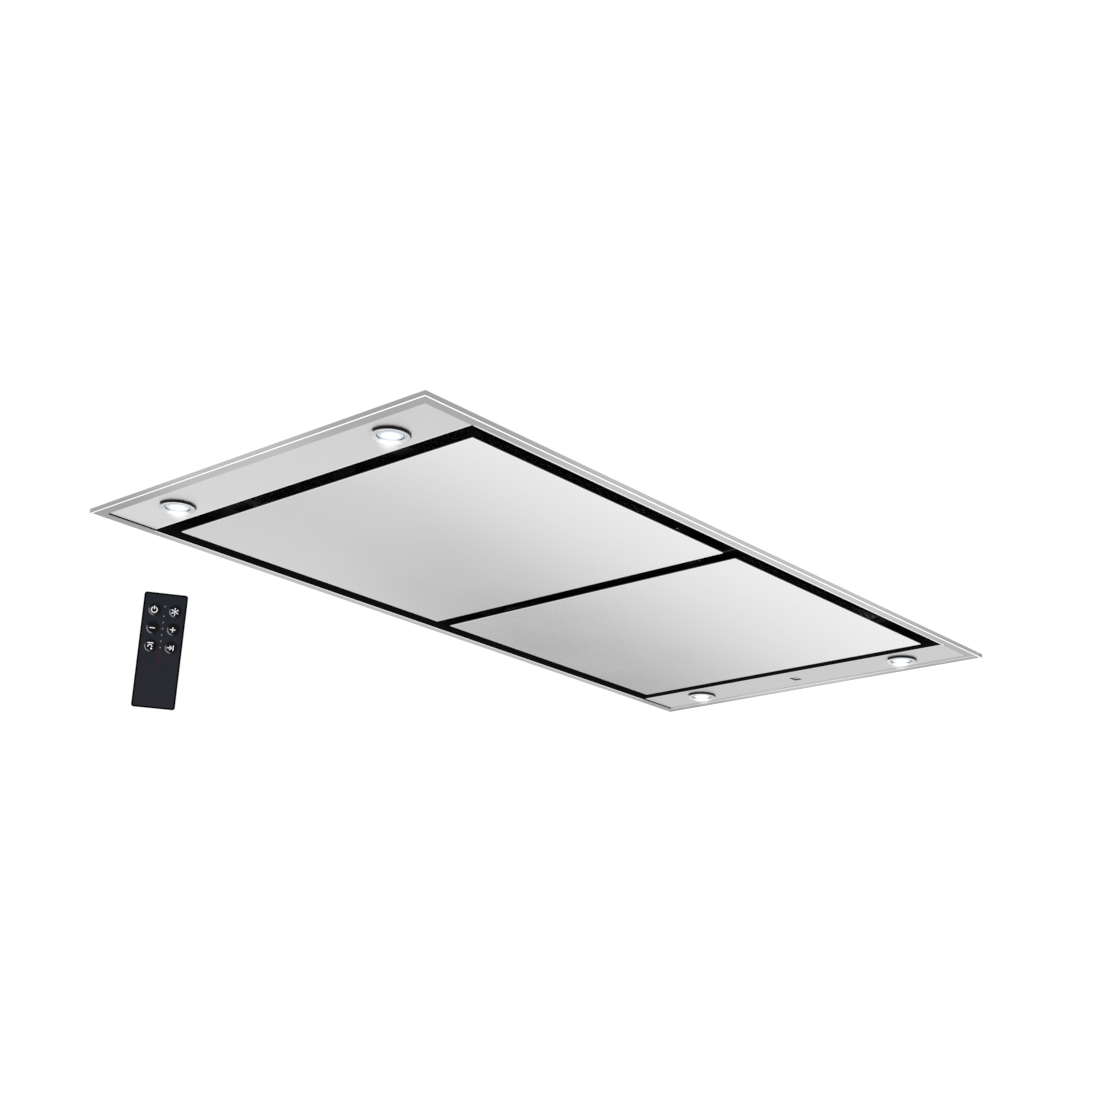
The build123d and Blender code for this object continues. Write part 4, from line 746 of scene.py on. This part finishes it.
# The two end plates differ only in their painted light: the left one lighter and brighter towards
# the far side
colour_all(fascia_steel("left_fascia_steel", 0.71, 0.85), "left_end_fascia")
colour_all(fascia_steel("right_fascia_steel", 0.65, 0.68), "right_end_fascia")
colour_all(panel_steel(), *both("panel_face"))
colour_all(painted("black_coat", (0.006, 0.006, 0.007), 0.62, specular=0.12), "suction_frame",
           "filter_partition", "panel_hinge_brackets", *both("panel_tray"))
colour_all(lamp_chrome(), "lamp_bezels")
colour_all(lamp_lens, "lamp_lenses")
colour_all(receiver_face(), "ir_receiver")

# Grease filters and catches
colour_all(painted("filter_frame", (0.020, 0.020, 0.021), 0.55, specular=0.15),
           *both("filter_frame"))
colour_all(shaded_mesh_alloy, *both("filter_mesh"))
colour_all(black_plastic, *both("filter_latch"))
colour_all(painted("magnet", (0.010, 0.010, 0.011), 0.6, specular=0.1), "panel_magnets")

# Body, blower and duct
colour_all(open_foam(), "ceiling_seal")
colour_all(galvanised("galvanised", (0.60, 0.62, 0.64), 70.0), "body_box", "hanger_brackets",
           "electronics_box", "electronics_cover")
colour_all(galvanised("blower_casing", (0.64, 0.66, 0.67), 110.0), "blower_scroll")
colour_all(galvanised("wheel", (0.66, 0.67, 0.68), 140.0), "impeller")
colour_all(black_plastic, "scroll_inlet_ring", "outlet_collar", "cable_gland")
colour_all(moulded("grey_plastic", (0.50, 0.51, 0.52), 0.5), *both("damper_flap"))
colour_all(painted("motor_paint", (0.035, 0.035, 0.04), 0.4, 0.020 * MM), "motor")
colour_all(drawn_metal("steel_pin", (0.60, 0.60, 0.61), 0.26), "fixing_screws", "motor_shaft",
           "damper_pins", "lamp_spring_clips", *both("hinge_pins"))
colour_all(silicone_rubber("rubber", (0.025, 0.025, 0.025), 0.75), "blower_buffers")

# Electronics
colour_all(circuit_laminate(), "control_board", "handset_circuit_board")
colour_all(moulded("terminal_plastic", (0.72, 0.72, 0.68), 0.45), "terminal_block")
colour_all(moulded("white_plastic", (0.80, 0.80, 0.79), 0.45), "led_driver")
colour_all(drawn_metal("capacitor_can", (0.72, 0.73, 0.74), 0.32, (0.05, 1.0, 1.0)),
           "motor_capacitor")
colour_all(drawn_metal("heat_sink", (0.72, 0.73, 0.74), 0.38), "lamp_heat_sinks")
colour_all(painted("lamp_board", (0.88, 0.88, 0.86), 0.35), "lamp_led_boards")

# Handset
colour_all(handset_shell(), "handset_front_case", "handset_back_case", "handset_battery_door")
colour_all(handset_button(), *[f"handset_button_{name}" for name in buttons])
colour_all(moulded("handset_light", (0.22, 0.22, 0.24), 0.3), "handset_indicator_lights")
colour_all(dark_window(), "handset_ir_window")
colour_all(silicone_rubber("silicone", (0.62, 0.62, 0.60), 0.6), "handset_keymat")
colour_all(painted("battery", (0.30, 0.31, 0.33), 0.3), "handset_batteries")


# ---------------------------------------------------------------- new pieces
def finish_piece(name, mesh, material, body):
    """Turns a bmesh into a piece of the object that rides on a body."""
    bmesh.ops.recalc_face_normals(mesh, faces=mesh.faces)
    data = bpy.data.meshes.new(name)
    mesh.to_mesh(data)
    mesh.free()
    data.materials.append(material)
    piece = in_scene(name, data)
    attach(piece, body)
    return piece


def tube(mesh, first, second):
    """Faces between two loops of points that follow each other."""
    for index in range(len(first)):
        following = (index + 1) % len(first)
        mesh.faces.new((first[index], first[following], second[following], second[index]))


LATHE_POINTS = 72


def lathe(mesh, profile, centre):
    """Adds a solid of revolution; the profile's first and last points lie on its vertical axis."""
    angles = [2 * math.pi * index / LATHE_POINTS for index in range(LATHE_POINTS)]
    rings = []
    for radius, z in profile[1:-1]:
        rings.append([mesh.verts.new((centre[0] + radius * math.cos(a),
                                      centre[1] + radius * math.sin(a), z)) for a in angles])
    ends = [mesh.verts.new((*centre, profile[0][1])), mesh.verts.new((*centre, profile[-1][1]))]
    for index in range(LATHE_POINTS):
        following = (index + 1) % LATHE_POINTS
        mesh.faces.new((ends[0], rings[0][following], rings[0][index]))
        mesh.faces.new((ends[1], rings[-1][index], rings[-1][following]))
        for first, second in zip(rings, rings[1:]):
            mesh.faces.new((first[index], first[following], second[following], second[index]))


# Lamp lenses
LENS_CROWN = 0.9 * MM
LENS_RISER = (0.15 * MM, 0.3 * MM)      # each step's width and depth
LENS_FLANGE = 1.2 * MM


def make_lenses():
    """Four lamp lenses with round steps moulded in the face, each deeper towards its outer side."""
    face, seat, top = lens_low.z, lens_high.z - LENS_FLANGE, lens_high.z
    profile = [(0.0, face)]
    radius = LENS_STEP * 0.75
    while radius < lens_radius - 0.5 * MM:
        level = face + LENS_CROWN * (radius / lens_radius) ** 2
        profile += [(radius, level), (radius + LENS_RISER[0], level + LENS_RISER[1])]
        radius += LENS_STEP
    profile += [(lens_radius, face + LENS_CROWN), (lens_radius, seat), (lens_flange_radius, seat),
                (lens_flange_radius, top), (0.0, top)]
    mesh = bmesh.new()
    for place in lamp_places:
        lathe(mesh, profile, place)
    piece = finish_piece("stepped_lenses", mesh, lamp_lens, "root")
    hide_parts("lamp_lenses")


make_lenses()

# Filter packs
FINE_PITCH = (18.0 * MM, 9.0 * MM)
WIDE_PITCH = (24.0 * MM, 12.0 * MM)
SHEET_INSET = 1.1 * MM
STRAND = 1.5 * MM
STRAND_THICKNESS = 1.1 * MM
STRAND_LIFT = 0.4 * MM
POCKET_REACH = 34.2 * MM        # the latch's pocket, in from the pack's outer end
POCKET_HALF = 28.2 * MM


def expanded_sheet(mesh, low, high, pitches, middle, pocket, turned=False):
    """Adds a sheet of expanded metal: twisted zigzag strands that meet at every other corner."""
    if turned:
        low, high = low.yx, high.yx
    columns, rows = [round(2 * (high[axis] - low[axis]) / pitches[axis]) for axis in (0, 1)]
    run, rise = (high.x - low.x) / columns, (high.y - low.y) / rows
    for row in range(rows):
        last = None
        for column in range(columns + 1):
            side = 1 if (row + column) % 2 else -1
            along = low.x + column * run
            across = low.y + (row + 0.5) * rise + side * (rise - STRAND) / 2
            x, y = (across, along) if turned else (along, across)
            if abs(y) < POCKET_HALF + STRAND and pocket[0] - STRAND < x < pocket[1] + STRAND:
                if last:
                    mesh.faces.new(last)
                last = None
                continue
            loop = []
            for width, depth in ((-1, -1), (1, -1), (1, 1), (-1, 1)):
                offset = width * STRAND / 2
                spot = (x + offset, y) if turned else (x, y + offset)
                z = middle + side * STRAND_LIFT + depth * STRAND_THICKNESS / 2
                loop.append(mesh.verts.new((*spot, z)))
            if last:
                tube(mesh, last, loop)
            else:
                mesh.faces.new(list(reversed(loop)))
            last = loop
        if last:
            mesh.faces.new(last)


def make_filter_packs():
    """Grease filters' expanded metal: a fine sheet below, and a wide one turned across it above."""
    for side in sides:
        low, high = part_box(f"{side}_filter_mesh")
        outer_left, outer_right = (low.x, low.x + POCKET_REACH), (high.x - POCKET_REACH, high.x)
        pocket = outer_left if side == "left" else outer_right
        mesh = bmesh.new()
        expanded_sheet(mesh, low, high, FINE_PITCH, low.z + SHEET_INSET, pocket)
        expanded_sheet(mesh, low, high, WIDE_PITCH, high.z - SHEET_INSET, pocket, turned=True)
        piece = finish_piece(f"{side}_filter_pack", mesh, shaded_mesh_alloy, "root")
        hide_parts(f"{side}_filter_mesh")


make_filter_packs()


# ---------------------------------------------------------------- icons on the handset
ICON_WIDTH = 1.0 * MM
ICON_HEIGHT = 0.06 * MM


def icon_piece(name, strokes, body, centre):
    """Printed icon: each stroke is a thin raised ribbon along its points, on a button's top."""
    mesh = bmesh.new()
    for points in strokes:
        closed = len(points) > 3 and (Vector(points[0]) - Vector(points[-1])).length < 1e-6
        line = [Vector(point) * MM for point in (points[:-1] if closed else points)]
        stations = []
        for index, point in enumerate(line):
            before = line[index - 1] if index > 0 or closed else point
            after = line[(index + 1) % len(line)] if index < len(line) - 1 or closed else point
            along = (after - before).normalized()
            across = Vector((-along.y, along.x)) * ICON_WIDTH / 2
            section = ((across, ICON_HEIGHT), (-across, ICON_HEIGHT), (-across, 0), (across, 0))
            loop = []
            for offset, height in section:
                spot = point + offset
                place = on_handset(centre[0] + spot.x, centre[1] + spot.y, BUTTON_TOP + height)
                loop.append(mesh.verts.new(place))
            stations.append(loop)
        pairs = list(zip(stations, stations[1:]))
        if closed:
            pairs.append((stations[-1], stations[0]))
        else:
            mesh.faces.new(stations[0])
            mesh.faces.new(list(reversed(stations[-1])))
        for first, second in pairs:
            tube(mesh, first, second)
    finish_piece(name, mesh, icon_white, body)


def arc(radius, start, stop, count, centre=(0.0, 0.0)):
    """Points along an arc, in millimetres; angles in degrees from the right."""
    angles = [math.radians(start + (stop - start) * index / count) for index in range(count + 1)]
    return [(centre[0] + radius * math.cos(a), centre[1] + radius * math.sin(a)) for a in angles]


icon_white = moulded("icon_print", (0.92, 0.93, 0.96), 0.4)
rays = [[(radius * math.cos(a), radius * math.sin(a)) for radius in (1.7, 4.3)]
        for a in (math.radians(30 + 60 * index) for index in range(6))]
icons = {
    "power": [arc(3.2, 118, 422, 22), [(0, 0.8), (0, 4.6)]],
    "light": [arc(0.7, 0, 360, 10), *rays],
    "minus": [[(-3.0, 0), (3.0, 0)]],
    "plus": [[(-2.9, 0), (2.9, 0)], [(0, -2.9), (0, 2.9)]],
    "timer": [[(-3.4, 3.6), (3.4, 3.6)], arc(2.2, -10, 200, 12, (0, -0.5)),
              arc(0.6, 0, 360, 8, (1.7, -2.8))],
    "boost": [[(-4.0, 0), (1.0, 0)], [(-1.2, 2.4), (1.4, 0), (-1.2, -2.4)],
              [(2.9, 3.0), (2.9, -3.0)]],
}
for index, name in enumerate(buttons):
    column = -BUTTON_COLUMN if index % 2 == 0 else BUTTON_COLUMN
    icon_piece(f"icon_{name}", icons[name], f"button_{name}", (column, BUTTON_ROWS[index // 2]))


# ---------------------------------------------------------------- room: ceiling, card, light
WHITE = (1, 1, 1, 1)
CEILING_BOTTOM = 0.4 * MM
CEILING_TOP = 12.0 * MM
CEILING_HALF = 14.0
CUT_HALF_X = 590.0 * MM
CUT_HALF_Y = 290.0 * MM


def rectangle(half_x, half_y):
    """Corners of a rectangle round the origin, in turn."""
    return [(sx * half_x, sy * half_y) for sx, sy in ((-1, -1), (1, -1), (1, 1), (-1, 1))]


def flat_sheet(name, places, faces, material):
    """A sheet of the room, from its corners."""
    mesh = bpy.data.meshes.new(name)
    mesh.from_pydata(places, [], faces)
    mesh.materials.append(material)
    return in_scene(name, mesh)


def ceiling_sheet(name, z, material, facing_down):
    """Flat sheet with the cut-out in its middle."""
    corners = rectangle(CEILING_HALF, CEILING_HALF) + rectangle(CUT_HALF_X, CUT_HALF_Y)
    faces = [(index, (index + 1) % 4, (index + 1) % 4 + 4, index + 4) for index in range(4)]
    if facing_down:
        faces = [face[::-1] for face in faces]
    sheet = flat_sheet(name, [(x, y, z) for x, y in corners], faces, material)


def white_for_camera(name, colour):
    """Pale matt surface, plain white to the camera, in reflections and through glass."""
    finish = Finish(name, colour, 0.0, 0.9)
    rays = finish.node("ShaderNodeLightPath").outputs
    seen = finish.most(rays["Is Camera Ray"], rays["Is Glossy Ray"], rays["Is Transmission Ray"])
    glow = finish.node("ShaderNodeEmission", {"Color": WHITE, "Strength": 1.0}).outputs[0]
    inputs = {0: seen, 1: finish.shader.outputs[0], 2: glow}
    finish.surface(finish.node("ShaderNodeMixShader", inputs).outputs[0])
    return finish.material


def pale_board():
    """Matt off-white top of the ceiling board, which keeps the object's shadow."""
    colour = (0.86, 0.86, 0.86)
    finish = Finish("board_top", colour, 0.0, 0.9)
    finish.mottle(colour, 0.01, 3.0)
    return finish.material


ceiling_white = white_for_camera("ceiling_white", (0.85, 0.85, 0.85))
ceiling_sheet("ceiling_underside", CEILING_BOTTOM, ceiling_white, facing_down=True)
ceiling_sheet("ceiling_top", CEILING_TOP, pale_board(), facing_down=False)

# The card: its level at each distance from the long axis; this pattern slants and turns along it
CARD_DROP = -1.6
CARD_HALF = 9.0
CARD_NEAR = 2.0
CARD_FAR = 4.5
CARD_LEVELS = [(2.0, 0.93), (2.5, 0.93), (2.8, 0.86), (3.0, 0.76),
               (3.2, 0.65), (3.4, 0.52), (3.6, 0.40), (4.0, 0.33)]
CARD_SLANT = (4.4, 0.11)        # from that half length inward, this much to the metre
CARD_TURN = (2.5, 0.5)          # beyond that place, this much to the metre
CARD_LIFT = 0.35
CARD_LIFT_START = 3.05
CARD_LIFT_WIDTH = 0.75


def make_card():
    """Pale floor of the room, seen only in reflections: darker further out, then lifted again."""
    finish = Finish("room_card", (0, 0, 0), 0.0, 1.0)
    x, y, _ = finish.axes()
    far = finish.unsigned(y)
    slant = finish.times(finish.minus(CARD_SLANT[0], finish.unsigned(x)), CARD_SLANT[1])
    share = finish.spread(finish.plus(far, slant), 0.0, 1.0, CARD_NEAR, CARD_FAR)
    ramp = finish.node("ShaderNodeValToRGB", {0: share})
    stops = ramp.color_ramp.elements
    while len(stops) < len(CARD_LEVELS):
        stops.new(0.5)
    for stop, (distance, level) in zip(stops, CARD_LEVELS):
        stop.position = (distance - CARD_NEAR) / (CARD_FAR - CARD_NEAR)
        stop.color = (level, level, level, 1.0)
    turn = finish.times(finish.most(0.0, finish.minus(x, CARD_TURN[0])), CARD_TURN[1])
    past = finish.minus(finish.minus(far, CARD_LIFT_START), turn)
    lift = finish.spread(past, 0.0, CARD_LIFT, 0.0, CARD_LIFT_WIDTH, smooth=True)
    level = finish.plus(ramp.outputs[0], lift)
    glow = finish.node("ShaderNodeEmission", {"Color": WHITE, "Strength": level})
    finish.surface(glow.outputs[0])
    places = [(x, y, CARD_DROP) for x, y in rectangle(CARD_HALF, CARD_HALF)]
    card = flat_sheet("room_card", places, [(0, 1, 2, 3)], finish.material)
    card.visible_camera = False
    card.visible_diffuse = False
    card.visible_transmission = False
    card.visible_shadow = False


ROOM_LEVEL = 0.80
BEHIND_LEVEL = 0.30             # in reflections, straight behind the viewer
BEHIND_REACH = (0.3, 0.95)      # as the cosine of the angle from there


def make_world():
    """White to the camera and in reflections, darker behind the viewer; a plain level elsewhere."""
    world = bpy.data.worlds.new("room")
    bpy.context.scene.world = world
    world.use_nodes = True
    room = Shading(world.node_tree)
    rays = room.node("ShaderNodeLightPath").outputs
    towards = room.node("ShaderNodeTexCoord").outputs["Generated"]
    behind = room.along(towards, handset_out)
    glossy = room.spread(behind, 1.0, BEHIND_LEVEL, *BEHIND_REACH, smooth=True)
    level = room.between(rays["Is Glossy Ray"], ROOM_LEVEL, glossy)
    clear = room.most(rays["Is Camera Ray"], rays["Is Transmission Ray"])
    level = room.between(clear, level, 1.0)
    background = room.tree.nodes["Background"]
    room.put(WHITE, background.inputs["Color"])
    room.put(level, background.inputs["Strength"])


def soft_light(name, place, target, size, power):
    """Square area light turned towards a point."""
    light = in_scene(name, bpy.data.lights.new(name, "AREA"))
    light.data.size = size
    light.data.energy = power
    light.location = place
    light.rotation_mode = "QUATERNION"
    light.rotation_quaternion = (Vector(target) - Vector(place)).to_track_quat("-Z", "Y")
    light.visible_glossy = False


make_card()
make_world()
soft_light("light_below", (-1.6, -1.0, -1.4), (0, 0, 0), 1.6, 10.0)
soft_light("light_above", (-1.2, -1.8, 2.6), (0, 0, 0.1), 1.8, 40.0)
bpy.context.scene.view_settings.view_transform = "Standard"
